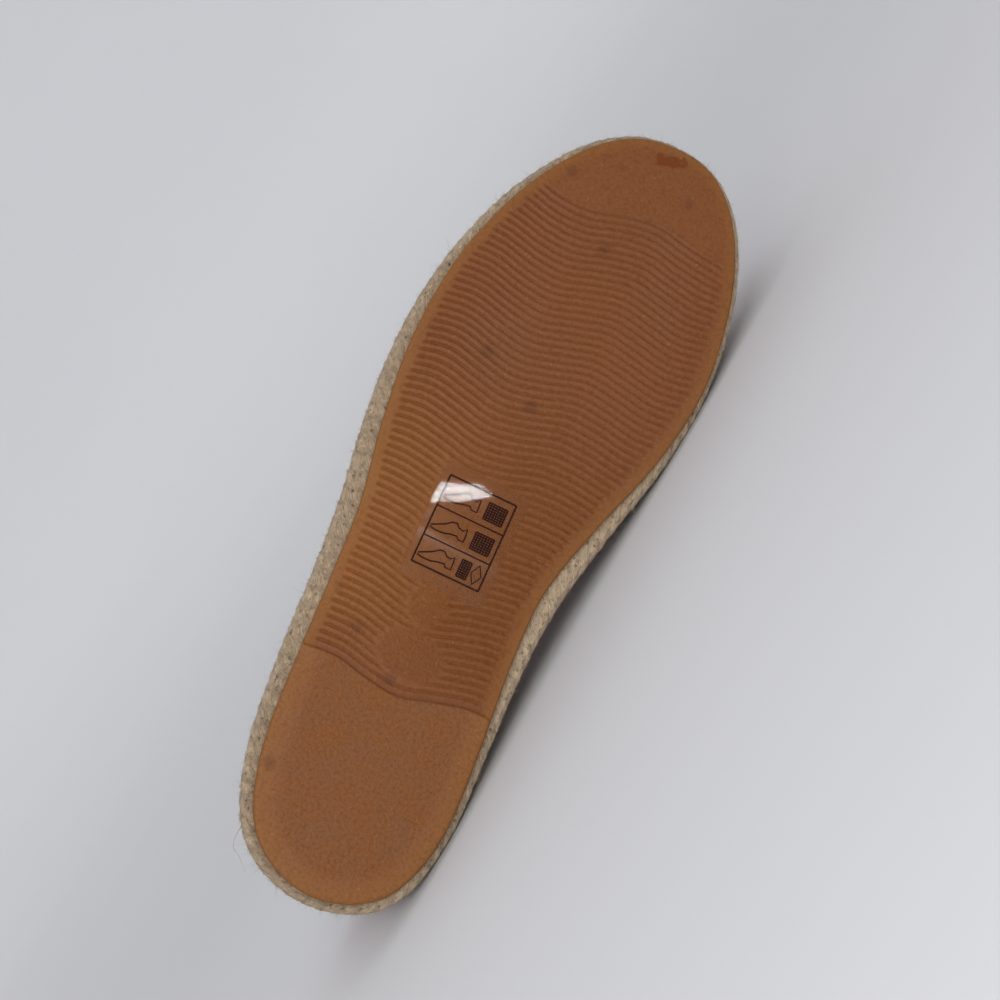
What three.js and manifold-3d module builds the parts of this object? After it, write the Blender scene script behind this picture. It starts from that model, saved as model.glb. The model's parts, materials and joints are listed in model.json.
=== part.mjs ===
// A right espadrille, EU 38: rubber outsole, braided jute midsole, cloth insole and one canvas upper.
// It is worked out standing on its sole (X heel to toe, Y lateral to medial, Z up, millimetres) and is
// then laid down on its medial side, with the sole facing -Y and the toe towards +X.
import * as THREE from 'three';
import Module from 'manifold-3d';
import { mergeVertices } from 'three/addons/utils/BufferGeometryUtils.js';

const wasm = await Module();
wasm.setup();

// Driving sizes
const LENGTH = 250;           // rubber, from heel end to toe end
const RUBBER = 2.5;           // outsole without its heel patch
const HEEL_STEP = 1.0;        // how far the heel patch stands out of the outsole
const PATCH_SINK = 0.5;       // how far the patch reaches into the outsole
const PATCH_MARGIN = 0.5;     // from the rubber's edge in to the patch
const PATCH_CORNER = 1.0;     // least space from the patch's breast back to the first point of its side
const RUBBER_EDGE = 0.6;      // rounding of the outsole's lower edge
const ARCH = 0.6;             // extra height of the outsole's underside at the waist
const TOE_SPRING = 4.6;       // height of the toe end
const JUTE = 14;              // midsole
const INSOLE = 2;
const CANVAS = 1.5;           // wall of the upper
const LAP = 0.8;              // the vamp's overlap, a step in the wall
const GAP = 0.3;              // between two pieces that meet

// Where the underside changes, along X
const WAIST = { start: 62, end: 130 };
const BALL_FLAT = { start: 165, end: 190 };

// Half outlines of the rubber, one row for each section. proud is how far the jute stands out of it.
const SOLE = [
  { x: 0, lateral: 2.2, medial: 2.2, proudLateral: 2.4, proudMedial: 2.4 },
  { x: 10, lateral: -19.0, medial: 22.9, proudLateral: 2.4, proudMedial: 2.4 },
  { x: 30, lateral: -27.2, medial: 29.4, proudLateral: 2.9, proudMedial: 2.6 },
  { x: 60, lateral: -30.4, medial: 28.1, proudLateral: 4.2, proudMedial: 3.2 },
  { x: 85, lateral: -31.8, medial: 25.9, proudLateral: 5.2, proudMedial: 4.7 },
  { x: 105, lateral: -33.5, medial: 25.7, proudLateral: 5.7, proudMedial: 6.0 },
  { x: 130, lateral: -38.5, medial: 31.5, proudLateral: 5.0, proudMedial: 4.8 },
  { x: 155, lateral: -41.7, medial: 39.0, proudLateral: 4.1, proudMedial: 3.0 },
  { x: 180, lateral: -41.1, medial: 42.8, proudLateral: 3.2, proudMedial: 2.1 },
  { x: 205, lateral: -35.5, medial: 40.6, proudLateral: 2.8, proudMedial: 2.2 },
  { x: 228, lateral: -25.2, medial: 33.7, proudLateral: 2.6, proudMedial: 2.6 },
  { x: 243, lateral: -13.1, medial: 23.9, proudLateral: 2.5, proudMedial: 2.7 },
  { x: LENGTH, lateral: 11.0, medial: 11.0, proudLateral: 2.6, proudMedial: 2.6 },
];

// Front edge of the heel patch, from the lateral to the medial edge
const HEEL_BREAST = [
  { x: 62.6, y: -29.4 },
  { x: 62.1, y: -17.5 },
  { x: 60.2, y: -4.0 },
  { x: 61.4, y: 5.0 },
  { x: 64.8, y: 15.0 },
  { x: 65.3, y: 27.0 },
];

// Wall of the jute: rise as a share of its height, inset from its widest line
const JUTE_WALL = [
  { rise: 0.0, inset: 1.5 },
  { rise: 0.1, inset: 0.4 },
  { rise: 0.28, inset: 0.0 },
  { rise: 0.47, inset: 0.8 },
  { rise: 0.66, inset: 0.8 },
  { rise: 0.88, inset: 1.5 },
  { rise: 1.0, inset: 2.8 },
];

const FOOT_INSET = 3.0;       // from the jute's widest line in to the foot of the upper

// Height of the collar's edge along the shoe, on each side
const THROAT = 152;
const COLLAR = [
  { x: -5, lateral: 72.0, medial: 72.0 },
  { x: 18, lateral: 68.8, medial: 69.2 },
  { x: 40, lateral: 61.5, medial: 63.0 },
  { x: 65, lateral: 54.0, medial: 56.0 },
  { x: 95, lateral: 51.0, medial: 53.0 },
  { x: 115, lateral: 53.8, medial: 55.2 },
  { x: 132, lateral: 59.0, medial: 59.6 },
  { x: 145, lateral: 63.8, medial: 63.9 },
  { x: THROAT, lateral: 67.0, medial: 67.0 },
];

// The top line of the last; the part behind the throat is open
const INSTEP = [
  { x: 28, y: 1.0, z: 90 },
  { x: 80, y: 0.5, z: 87 },
  { x: 115, y: 1.0, z: 81 },
  { x: 135, y: 2.0, z: 74.5 },
  { x: THROAT, y: 3.0, z: 67 },
  { x: 172, y: 4.5, z: 58.5 },
  { x: 192, y: 6.0, z: 51.8 },
  { x: 212, y: 7.2, z: 46.8 },
  { x: 230, y: 8.2, z: 43.4 },
];

// Ribs of the last, by degrees round the foot (0 heel, 180 toe): how far a rib swings out and up as it
// leaves the foot, how far back and down it still is as it nears the top line, and where it ends there
const THROAT_TURN = 98;
const RIBS = [
  { turn: 0, outLateral: 3.6, outMedial: 3.6, up: 26, backLateral: 24, backMedial: 24, drop: 0, top: 28 },
  { turn: 40, outLateral: 1.6, outMedial: 1.2, up: 27, backLateral: 26, backMedial: 32, drop: 2, top: 52 },
  { turn: 60, outLateral: 2, outMedial: 0.5, up: 26, backLateral: 23, backMedial: 27, drop: 5, top: 81 },
  { turn: 76, outLateral: 2.2, outMedial: 2, up: 24, backLateral: 23, backMedial: 24, drop: 8, top: 108 },
  { turn: 88, outLateral: 2.2, outMedial: 3, up: 22, backLateral: 24, backMedial: 24, drop: 5, top: 132 },
  { turn: THROAT_TURN, outLateral: 2.3, outMedial: 4, up: 20, backLateral: 25, backMedial: 25, drop: 1,
    top: THROAT },
  { turn: 120, outLateral: 2.6, outMedial: 3.4, up: 19, backLateral: 23, backMedial: 23, drop: 0, top: 177 },
  { turn: 150, outLateral: 2.6, outMedial: 3, up: 16, backLateral: 19, backMedial: 19, drop: 0, top: 207 },
  { turn: 180, outLateral: 2.6, outMedial: 2.6, up: 13, backLateral: 11, backMedial: 11, drop: 0, top: 230 },
];
const SEAM = { x: 98, width: 0.9 };   // side seam, where the vamp laps over the quarter

// How finely the solids are divided
const COLLAR_COLUMNS = 24;
const VAMP_COLUMNS = 20;
const UPPER_ROWS = 12;
const BREAST_POINTS = 18;
const COLLAR_HALVINGS = 30;   // steps that find where a rib meets the collar's edge
const TURN_STEP = 0.001;      // for the outline's direction

// How the shoe lies: turned onto its medial side, then until sole edge and upper both touch the floor
const LYING = { roll: -95.45, pitch: -4.96 };

const HALF_TURN = Math.PI;
const FULL_TURN = 2 * Math.PI;

// A smooth line through the rows of a table; a period joins the last row to the first
function lineThrough(places, values, period = 0) {
  const count = places.length;
  const place = (i) => places[(i + count) % count] + period * Math.floor(i / count);
  const value = (i) => values[(i + count) % count];
  const grade = (i) => (value(i + 1) - value(i)) / (place(i + 1) - place(i));
  const slope = (i) => {
    if (!period && i === 0) return grade(0);
    if (!period && i === count - 1) return grade(count - 2);
    const before = place(i) - place(i - 1);
    const after = place(i + 1) - place(i);
    return (after * grade(i - 1) + before * grade(i)) / (before + after);
  };
  return (at) => {
    const last = period ? count - 1 : count - 2;
    let i = 0;
    while (i < last && at > place(i + 1)) i += 1;
    const span = place(i + 1) - place(i);
    const t = (at - place(i)) / span;
    const start = value(i) * (1 + 2 * t) * (1 - t) ** 2 + slope(i) * span * t * (1 - t) ** 2;
    const end = value(i + 1) * t * t * (3 - 2 * t) + slope(i + 1) * span * t * t * (t - 1);
    return start + end;
  };
}

const column = (table, name) => table.map((row) => row[name]);
const smoothStep = (from, to, x) => THREE.MathUtils.smoothstep(x, from, to);

// The outline runs by an angle: 0 at the heel end, half a turn at the toe, lateral side first. X follows
// from the angle, which makes both ends round, and the tables give Y.
const turnAt = (x) => Math.acos(1 - (2 * x) / LENGTH);
const lengthAt = (turn) => (LENGTH / 2) * (1 - Math.cos(turn));

function roundTheSole(lateral, medial) {
  const inner = SOLE.slice(1, -1);
  const turns = column(SOLE, 'x').map(turnAt);
  const back = column(inner, 'x').map((x) => FULL_TURN - turnAt(x)).reverse();
  const values = [...column(SOLE, lateral), ...column(inner, medial).reverse()];
  return lineThrough([...turns, ...back], values, FULL_TURN);
}

const edgeY = roundTheSole('lateral', 'medial');
const proud = roundTheSole('proudLateral', 'proudMedial');

function outlinePoint(turn, outward) {
  const [back, ahead] = [turn - TURN_STEP, turn + TURN_STEP];
  const before = new THREE.Vector2(lengthAt(back), edgeY((back + FULL_TURN) % FULL_TURN));
  const after = new THREE.Vector2(lengthAt(ahead), edgeY(ahead % FULL_TURN));
  const along = after.sub(before).normalize();
  const normal = new THREE.Vector2(along.y, -along.x);
  const point = new THREE.Vector2(lengthAt(turn), edgeY(turn)).addScaledVector(normal, outward);
  return { point, normal };
}

// Underside of the outsole round the heel patch: raised by the patch behind the ball, arched at the
// waist, flat under the ball, and lifted at the toe
function underside(x) {
  const raised = HEEL_STEP * (1 - smoothStep(WAIST.end, BALL_FLAT.start, x));
  const waist = THREE.MathUtils.clamp((x - WAIST.start) / (WAIST.end - WAIST.start), 0, 1);
  const arch = ARCH * Math.sin(Math.PI * waist) ** 2;
  const spring = TOE_SPRING * (Math.max(0, x - BALL_FLAT.end) / (LENGTH - BALL_FLAT.end)) ** 2;
  return raised + arch + spring;
}

const juteBottom = RUBBER + GAP;
const juteTop = juteBottom + JUTE;
const footbed = juteTop + GAP;

// Angles of the columns: close together at the throat, with a second one close by at the seam, then even
// along the vamp. The same columns serve every piece.
const throatTurn = THREE.MathUtils.degToRad(THROAT_TURN);
const footOfThroat = lengthAt(throatTurn);

function halfTurns() {
  const turns = [];
  for (let i = 0; i < COLLAR_COLUMNS; i += 1) {
    const share = (1 - Math.cos((HALF_TURN * i) / COLLAR_COLUMNS)) / 2;
    turns.push(turnAt(footOfThroat * share));
  }
  const seam = turns.findIndex((turn) => lengthAt(turn) > SEAM.x);
  turns[seam] = turnAt(SEAM.x);
  turns.splice(seam + 1, 0, turnAt(SEAM.x + SEAM.width));
  for (let i = 0; i <= VAMP_COLUMNS; i += 1) {
    turns.push(throatTurn + ((HALF_TURN - throatTurn) * i) / VAMP_COLUMNS);
  }
  return { turns, seam };
}

const { turns: lateralTurns, seam: seamColumn } = halfTurns();
const half = lateralTurns.length - 1;
const medialTurns = lateralTurns.slice(1, -1).map((turn) => FULL_TURN - turn).reverse();
const TURNS = [...lateralTurns, ...medialTurns];
const COUNT = TURNS.length;
const throatColumn = COLLAR_COLUMNS + 1;
const opposite = (i) => (COUNT - i) % COUNT;
const lateralOf = (i) => Math.min(i, opposite(i));
const sideOf = (i) => (i > half ? 'medial' : 'lateral');

// A closed line round the sole: outward gives the distance from the rubber's edge for an angle
function ring(outward, height) {
  return TURNS.map((turn) => {
    const { point } = outlinePoint(turn, outward(turn));
    return new THREE.Vector3(point.x, point.y, underside(point.x) + height);
  });
}

function geometryOf(points, faces) {
  const places = points.flatMap((p) => [p.x, p.y, p.z]);
  const geometry = new THREE.BufferGeometry();
  geometry.setAttribute('position', new THREE.Float32BufferAttribute(places, 3));
  geometry.setIndex(faces.flat());
  return geometry;
}

// Rings stacked from the lowest to the highest, closed by strips from the lateral to the medial side
function stack(rings) {
  const faces = [];
  for (let level = 0; level + 1 < rings.length; level += 1) {
    for (let i = 0; i < COUNT; i += 1) {
      const a = level * COUNT + i;
      const b = level * COUNT + ((i + 1) % COUNT);
      faces.push([a, b, b + COUNT], [a, b + COUNT, a + COUNT]);
    }
  }
  const top = (rings.length - 1) * COUNT;
  for (let i = 0; i < half; i += 1) {
    const strip = [i, i + 1, opposite(i + 1), opposite(i)];
    const quads = [[0, 1, 2], [0, 2, 3]].map((corners) => corners.map((corner) => strip[corner]));
    for (const quad of quads.filter((corners) => new Set(corners).size === 3)) {
      faces.push(quad.map((corner) => corner + top), [...quad].reverse());
    }
  }
  return geometryOf(rings.flat(), faces);
}

function toSolid(geometry) {
  const bare = geometry.clone();
  bare.deleteAttribute('normal');
  bare.deleteAttribute('uv');
  const merged = mergeVertices(bare);
  const vertProperties = new Float32Array(merged.attributes.position.array);
  const triVerts = new Uint32Array(merged.index.array);
  return new wasm.Manifold(new wasm.Mesh({ numProp: 3, vertProperties, triVerts }));
}

function toGeometry(solid) {
  const { vertProperties, triVerts } = solid.getMesh();
  const geometry = new THREE.BufferGeometry();
  geometry.setAttribute('position', new THREE.BufferAttribute(vertProperties, 3));
  geometry.setIndex(new THREE.BufferAttribute(triVerts, 1));
  return geometry;
}

function piece(name, geometry, material) {
  geometry.computeVertexNormals();
  const mesh = new THREE.Mesh(geometry, new THREE.MeshStandardMaterial(material));
  mesh.name = name;
  return mesh;
}

// Outsole: the slab, and the heel patch that ends in a wavy breast
function heelPatch() {
  const breast = new THREE.CatmullRomCurve3(HEEL_BREAST.map(({ x, y }) => new THREE.Vector3(x, y, 0)));
  const front = breast.getPoints(BREAST_POINTS).map((p) => new THREE.Vector2(p.x, p.y));
  const side = (i) => outlinePoint(TURNS[i], -PATCH_MARGIN).point;
  const behind = (i, end) => side(i).x < end.x - PATCH_CORNER;
  const medial = [];
  for (let i = half; i > 0; i -= 1) {
    if (behind(opposite(i), front[front.length - 1])) medial.push(side(opposite(i)));
  }
  const lateral = [];
  for (let i = 0; i <= half; i += 1) {
    if (behind(i, front[0])) lateral.push(side(i));
  }
  const shape = new THREE.Shape([...front, ...medial, ...lateral]);
  return new THREE.ExtrudeGeometry(shape, { depth: HEEL_STEP + PATCH_SINK, bevelEnabled: false });
}

function outsole() {
  const slab = stack([
    ring(() => -RUBBER_EDGE, 0),
    ring(() => 0, RUBBER_EDGE),
    ring(() => 0, RUBBER),
  ]);
  return toGeometry(toSolid(slab).add(toSolid(heelPatch())));
}

function midsole() {
  const line = ({ rise, inset }) => ring((turn) => proud(turn) - inset, juteBottom + rise * JUTE);
  return stack(JUTE_WALL.map(line));
}

function insole() {
  const inset = FOOT_INSET + CANVAS + GAP;
  const edge = (turn) => proud(turn) - inset;
  return stack([ring(edge, footbed), ring(edge, footbed + INSOLE)]);
}

// The upper: each column is a rib of the last, a Bezier curve from its foot on the jute to the top line.
// Behind the throat the collar's edge cuts it short.
const collarX = column(COLLAR, 'x');
const collarHeight = {
  lateral: lineThrough(collarX, column(COLLAR, 'lateral')),
  medial: lineThrough(collarX, column(COLLAR, 'medial')),
};
const instepX = column(INSTEP, 'x');
const instepY = lineThrough(instepX, column(INSTEP, 'y'));
const instepZ = lineThrough(instepX, column(INSTEP, 'z'));
const SLOPE_REACH = 0.5;
const instepSlope = (x) => (instepZ(x + SLOPE_REACH) - instepZ(x - SLOPE_REACH)) / (2 * SLOPE_REACH);
const ribTurns = column(RIBS, 'turn').map(THREE.MathUtils.degToRad);
const ribSize = (name) => lineThrough(ribTurns, column(RIBS, name));
const ribUp = ribSize('up');
const ribDrop = ribSize('drop');
const ribTop = ribSize('top');
const ribSide = {
  lateral: { out: ribSize('outLateral'), back: ribSize('backLateral') },
  medial: { out: ribSize('outMedial'), back: ribSize('backMedial') },
};

function rib(i) {
  const turn = TURNS[lateralOf(i)];
  const { point, normal } = outlinePoint(TURNS[i], proud(TURNS[i]) - FOOT_INSET);
  const foot = new THREE.Vector3(point.x, point.y, underside(point.x) + footbed);
  const x = ribTop(turn);
  const end = new THREE.Vector3(x, instepY(x), instepZ(x));
  const side = ribSide[sideOf(i)];
  const rise = new THREE.Vector3(normal.x, normal.y, 0).multiplyScalar(side.out(turn));
  rise.z = ribUp(turn);
  const home = new THREE.Vector3(foot.x - end.x, foot.y - end.y, 0).setLength(side.back(turn));
  home.z = instepSlope(end.x) * home.x - ribDrop(turn);
  return new THREE.CubicBezierCurve3(foot, foot.clone().add(rise), end.clone().add(home), end);
}

// How much of a rib is covered: all of it from the throat on, and up to the collar behind that
function covered(i, curve) {
  if (lateralOf(i) >= throatColumn) return 1;
  const height = collarHeight[sideOf(i)];
  let low = 0;
  let high = 1;
  for (let step = 0; step < COLLAR_HALVINGS; step += 1) {
    const middle = (low + high) / 2;
    const point = curve.getPoint(middle);
    if (point.z < height(point.x)) low = middle;
    else high = middle;
  }
  return low;
}

function upper() {
  const ribs = TURNS.map((_, i) => rib(i));
  const cuts = ribs.map((curve, i) => covered(i, curve));
  const points = [];
  for (let row = 0; row <= UPPER_ROWS; row += 1) {
    ribs.forEach((curve, i) => points.push(curve.getPoint((cuts[i] * row) / UPPER_ROWS)));
  }
  const isVamp = (i) => lateralOf(i) > seamColumn;
  const inVampRange = (i) => lateralOf(i) >= throatColumn;
  // Along the instep line the two sides share their points
  const at = (row, i) => {
    const round = (i + COUNT) % COUNT;
    const shared = row === UPPER_ROWS && inVampRange(round);
    return row * COUNT + (shared ? lateralOf(round) : round);
  };
  const skin = [];
  for (let row = 0; row < UPPER_ROWS; row += 1) {
    for (let i = 0; i < COUNT; i += 1) {
      const [a, b, c, d] = [at(row, i), at(row, i + 1), at(row + 1, i + 1), at(row + 1, i)];
      skin.push([a, b, c], [a, c, d]);
    }
  }
  const bare = geometryOf(points, skin);
  bare.computeVertexNormals();
  const normals = points.map((_, i) => new THREE.Vector3().fromBufferAttribute(bare.attributes.normal, i));
  const level = normals.map((normal, i) => (i < COUNT ? normal.setZ(0).normalize() : normal));
  const outside = points.map((p, i) => p.clone().addScaledVector(level[i], isVamp(i % COUNT) ? LAP : 0));
  const inside = points.map((p, i) => p.clone().addScaledVector(level[i], -CANVAS));
  const shift = points.length;
  const lining = skin.map(([a, b, c]) => [a + shift, c + shift, b + shift]);
  const rims = [];
  for (let i = 0; i < COUNT; i += 1) {
    const [a, b] = [at(0, i), at(0, i + 1)];
    rims.push([a, a + shift, b + shift], [a, b + shift, b]);
    const [c, d] = [at(UPPER_ROWS, i), at(UPPER_ROWS, i + 1)];
    if (inVampRange(i) && inVampRange((i + 1) % COUNT)) continue;
    rims.push([c, d, d + shift], [c, d + shift, c + shift]);
  }
  return geometryOf([...outside, ...inside], [...skin, ...lining, ...rims]);
}

const shoe = new THREE.Group();
shoe.add(
  piece('outsole', outsole(), { color: 0x7f5030, roughness: 0.55, metalness: 0 }),
  piece('midsole', midsole(), { color: 0x9e8167, roughness: 1, metalness: 0 }),
  piece('insole', insole(), { color: 0xb8a588, roughness: 0.95, metalness: 0 }),
  piece('upper', upper(), { color: 0xb0908a, roughness: 0.9, metalness: 0 }),
);

// Lay the shoe down and set the middle of its base at the origin
shoe.rotation.set(THREE.MathUtils.degToRad(LYING.roll), THREE.MathUtils.degToRad(LYING.pitch), 0, 'YXZ');
const lying = new THREE.Group();
lying.add(shoe);
lying.updateMatrixWorld(true);
const box = new THREE.Box3().setFromObject(lying, true);
const middle = box.getCenter(new THREE.Vector3());
shoe.position.set(-middle.x, -middle.y, -box.min.z);

export default lying;
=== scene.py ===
"""A right espadrille, EU 38, lying on its medial side with the sole towards the camera.

Every shape is worked out in the shoe's own millimetres, standing on its sole (X heel to toe,
Y lateral to medial, Z up), and is then laid down where the packed part lies.
"""
import json
import math

import bmesh
import bpy
import numpy as np
from bpy.props import FloatProperty, FloatVectorProperty, IntProperty, PointerProperty
from mathutils import Matrix, Vector, noise
from mathutils.kdtree import KDTree


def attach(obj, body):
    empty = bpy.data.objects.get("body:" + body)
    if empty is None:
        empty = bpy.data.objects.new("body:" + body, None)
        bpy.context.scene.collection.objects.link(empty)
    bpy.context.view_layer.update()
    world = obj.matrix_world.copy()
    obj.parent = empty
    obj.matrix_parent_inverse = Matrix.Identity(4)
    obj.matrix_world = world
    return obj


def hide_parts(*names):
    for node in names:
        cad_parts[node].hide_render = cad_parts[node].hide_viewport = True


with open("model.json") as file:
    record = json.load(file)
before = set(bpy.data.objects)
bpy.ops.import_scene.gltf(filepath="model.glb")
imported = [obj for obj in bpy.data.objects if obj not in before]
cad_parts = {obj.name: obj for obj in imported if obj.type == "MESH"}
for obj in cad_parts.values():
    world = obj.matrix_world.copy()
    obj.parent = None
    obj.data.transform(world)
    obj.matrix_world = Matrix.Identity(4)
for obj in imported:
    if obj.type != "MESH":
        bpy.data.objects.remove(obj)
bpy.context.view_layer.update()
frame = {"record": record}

bl_info = {
    "name": "Right espadrille",
    "version": (1, 0, 0),
    "blender": (4, 5, 0),
    "location": "View3D > Sidebar > Espadrille",
    "description": "Rubber sole, jute braid, canvas upper and sole label of a right espadrille",
    "category": "Add Mesh",
}

MM = 0.001
SEED = 38

# Driving sizes, the ones that the solids have
LENGTH = 250
RUBBER = 2.5
HEEL_STEP = 1.0
RUBBER_EDGE = 0.6
ARCH = 0.6
TOE_SPRING = 4.6
JUTE = 14
INSOLE = 2
CANVAS = 1.5
LAP = 0.8
GAP = 0.3
FOOT_INSET = 3.0
WAIST = (62, 130)
BALL_FLAT = (165, 190)
THROAT = 152
THROAT_TURN = math.radians(98)
SEAM_X = 98
SEAM_WIDTH = 0.9
JUTE_BOTTOM = RUBBER + GAP
JUTE_TOP = JUTE_BOTTOM + JUTE
FOOTBED = JUTE_TOP + GAP

# Half outlines of the rubber, and how far the jute stands out of it:
# x, lateral y, medial y, proud lateral, proud medial
SOLE = np.array([
    (0, 2.2, 2.2, 2.4, 2.4),
    (10, -19.0, 22.9, 3.3, 3.1),
    (30, -27.1, 29.2, 3.8, 2.6),
    (60, -30.2, 28.0, 4.9, 3.2),
    (85, -31.8, 25.9, 5.2, 4.7),
    (105, -33.5, 25.7, 5.7, 6.0),
    (130, -38.5, 31.5, 5.0, 4.8),
    (155, -41.7, 39.0, 4.1, 3.0),
    (180, -41.1, 42.8, 3.2, 2.1),
    (205, -35.5, 40.6, 2.8, 2.2),
    (228, -25.2, 33.7, 2.6, 2.6),
    (243, -13.1, 23.9, 2.5, 2.7),
    (248.5, -3.4, 15.8, 2.6, 2.6),
    (LENGTH, 7.0, 7.0, 2.6, 2.6),
])

# Wall of the jute: rise as a share of its height, inset from its widest line
JUTE_WALL = np.array([
    (0.0, 1.5), (0.1, 0.4), (0.28, 0.0), (0.47, 0.8), (0.66, 0.8), (0.88, 1.5), (1.0, 2.8),
])

# Height of the collar's edge: x, lateral, medial
COLLAR = np.array([
    (-5, 72.0, 72.0), (18, 68.8, 69.2), (40, 61.5, 63.0), (65, 54.0, 56.0), (95, 51.0, 53.0),
    (115, 53.8, 55.2), (132, 59.0, 59.6), (145, 63.8, 63.9), (THROAT, 67.0, 67.0),
])

# The top line of the last: x, y, z
INSTEP = np.array([
    (28, 1.0, 90), (80, 0.5, 87), (115, 1.0, 81), (135, 2.0, 74.5), (THROAT, 3.0, 67),
    (172, 4.5, 58.5), (192, 6.0, 51.8), (212, 7.2, 46.8), (230, 8.2, 43.4),
])

# Ribs of the last by degrees round the foot: swing out on each side, up, back on each side, drop, top
RIBS = np.array([
    (0, 3.6, 3.6, 26, 24, 24, 0, 28),
    (40, 1.6, 1.2, 27, 26, 32, 2, 52),
    (60, 2.0, 0.5, 26, 23, 27, 5, 81),
    (76, 2.2, 2.0, 24, 23, 24, 8, 108),
    (88, 2.2, 3.0, 22, 24, 24, 5, 132),
    (98, 2.3, 4.0, 20, 25, 25, 1, THROAT),
    (120, 2.6, 3.4, 19, 23, 23, 0, 177),
    (150, 2.6, 3.0, 16, 19, 19, 0, 207),
    (180, 2.6, 2.6, 13, 11, 11, 0, 230),
])
RIB_NAMES = ("turn", "out_lateral", "out_medial", "up", "back_lateral", "back_medial", "drop", "top")

# How far the grooves lead or lag the middle of the sole, at stations across it, from heel breast to toe
WAVE_STATIONS = (-44, -30, -20, -10, 0, 10, 20, 30, 44)
GROOVE_WAVES = {
    60.2: (0.0, 1.6, 2.5, 0.8, 0.0, 2.9, 5.6, 5.6, 5.3),
    80.8: (-1.0, 1.6, 2.0, 0.2, 0.0, 3.2, 5.5, 5.6, 5.0),
    120: (-2.2, 1.2, 0.5, -1.2, 0.0, 3.3, 4.4, 3.8, 4.0),
    160: (-3.0, 0.7, -1.0, -2.4, 0.0, 3.3, 3.0, 1.8, 3.5),
    194.8: (-2.5, -1.4, -3.2, -3.5, 0.0, 2.6, 1.4, 0.2, 4.0),
    221.1: (-1.5, -2.7, -4.3, -3.6, 0.0, 1.9, 0.5, -0.3, 0.0),
}
BREAST = 60.2
FIRST_GROOVE = 63.0
LAST_GROOVE = 221.1
ROWS_A_GROOVE = 10
MARGIN_LATERAL = 2.6
MARGIN_MEDIAL = 3.4

# Smooth round places in the grooves: x, y, half length, half width
BLANK_ROUNDS = ((87.5, -3.2, 6.1, 6.0), (72.3, -1.5, 7.4, 10.2))

# Sole label: middle, size and turn, and the printed frame inside it
LABEL_MIDDLE = (111.1, -2.5)
LABEL_SIZE = (36.0, 27.2)
LABEL_TURN = math.radians(-1.5)
FILM = 0.12
INK = 0.03
FRAME_ALONG = (-13.6, 14.0)
FRAME_ACROSS = (-11.0, 10.2)
DIVIDERS = (-5.1, 4.3)

# Both ends of the streak of light on the label, and the lamp that it mirrors
GLARE_SPOTS = ((114.5, -17.5), (125.6, -2.2))
GLARE_LAMP = {"away": 0.9, "aim": (120.0, -9.2, 1.0), "power": 0.7, "width": 0.017}

# Worn spot at the toe; its turn as cosine and sine
CHIP = {"x": 244.9, "y": 4.2, "length": 2.1, "width": 6.0, "depth": 0.35, "turn": (0.93, 0.36)}

# Camera in the shoe's own millimetres: the photograph's place, turned to face the middle of the sole
CAMERA_PLACE = (-17.6, -48.3, -576.0)
CAMERA_UP = (0.882, -0.450, -0.138)
CAMERA_AIM = (127.0, 3.0, 10.0)
CAMERA_LENS = 74


def srgb(red, green, blue):
    """A screen colour, 0 to 255, as the linear colour that a shader takes."""
    shares = (channel / 255 for channel in (red, green, blue))
    return tuple(c / 12.92 if c <= 0.04045 else ((c + 0.055) / 1.055) ** 2.4 for c in shares)


def shoe_axes():
    """Where the shoe lies: its axes as columns, and its origin in metres, from the faces under it."""
    mounts = {mount["name"]: mount for mount in frame["record"]["mounts"]}
    heel = np.array(mounts["heel_face"]["pos_m"])
    ball = np.array(mounts["ball_face"]["pos_m"])
    along = (ball - heel) / np.linalg.norm(ball - heel)
    up = -np.array(mounts["heel_face"]["axis"])
    up -= along * (up @ along)
    up /= np.linalg.norm(up)
    heel_face_x = 30
    return np.stack([along, np.cross(up, along), up], axis=1), heel - along * heel_face_x * MM


AXES, ORIGIN = shoe_axes()


def lay_down(points):
    """Points of the standing shoe, in millimetres, as points of the lying shoe, in metres."""
    return np.asarray(points) @ AXES.T * MM + ORIGIN


def smooth_step(start, end, value):
    """0 before start, 1 after end, smooth between."""
    share = np.clip((value - start) / (end - start), 0, 1)
    return share * share * (3 - 2 * share)


def bump_at(value, width):
    """A soft bell of height 1 round 0."""
    return np.exp(-((value / width) ** 2))


def line_through(places, values, period=0.0):
    """A smooth line through the rows of a table; a period joins the last row to the first."""
    places, values = np.asarray(places, float), np.asarray(values, float)
    if period:
        places = np.concatenate([places[-3:] - period, places, places[:3] + period])
        values = np.concatenate([values[-3:], values, values[:3]])
    steps = np.diff(places)
    grades = np.diff(values) / steps
    inner = (steps[1:] * grades[:-1] + steps[:-1] * grades[1:]) / (steps[:-1] + steps[1:])
    slopes = np.concatenate([grades[:1], inner, grades[-1:]])

    def at(where):
        where = np.asarray(where, float)
        i = np.clip(np.searchsorted(places, where, side="right") - 1, 0, len(steps) - 1)
        t = (where - places[i]) / steps[i]
        start = values[i] * (1 + 2 * t) * (1 - t) ** 2 + slopes[i] * steps[i] * t * (1 - t) ** 2
        end = values[i + 1] * t * t * (3 - 2 * t) + slopes[i + 1] * steps[i] * t * t * (t - 1)
        return start + end

    return at


def turn_at(x):
    """Angle round the sole, 0 at the heel end and half a turn at the toe, for a place along it."""
    return np.arccos(np.clip(1 - 2 * np.asarray(x, float) / LENGTH, -1, 1))


def length_at(turn):
    """Place along the sole for an angle round it."""
    return LENGTH / 2 * (1 - np.cos(turn))


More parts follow.
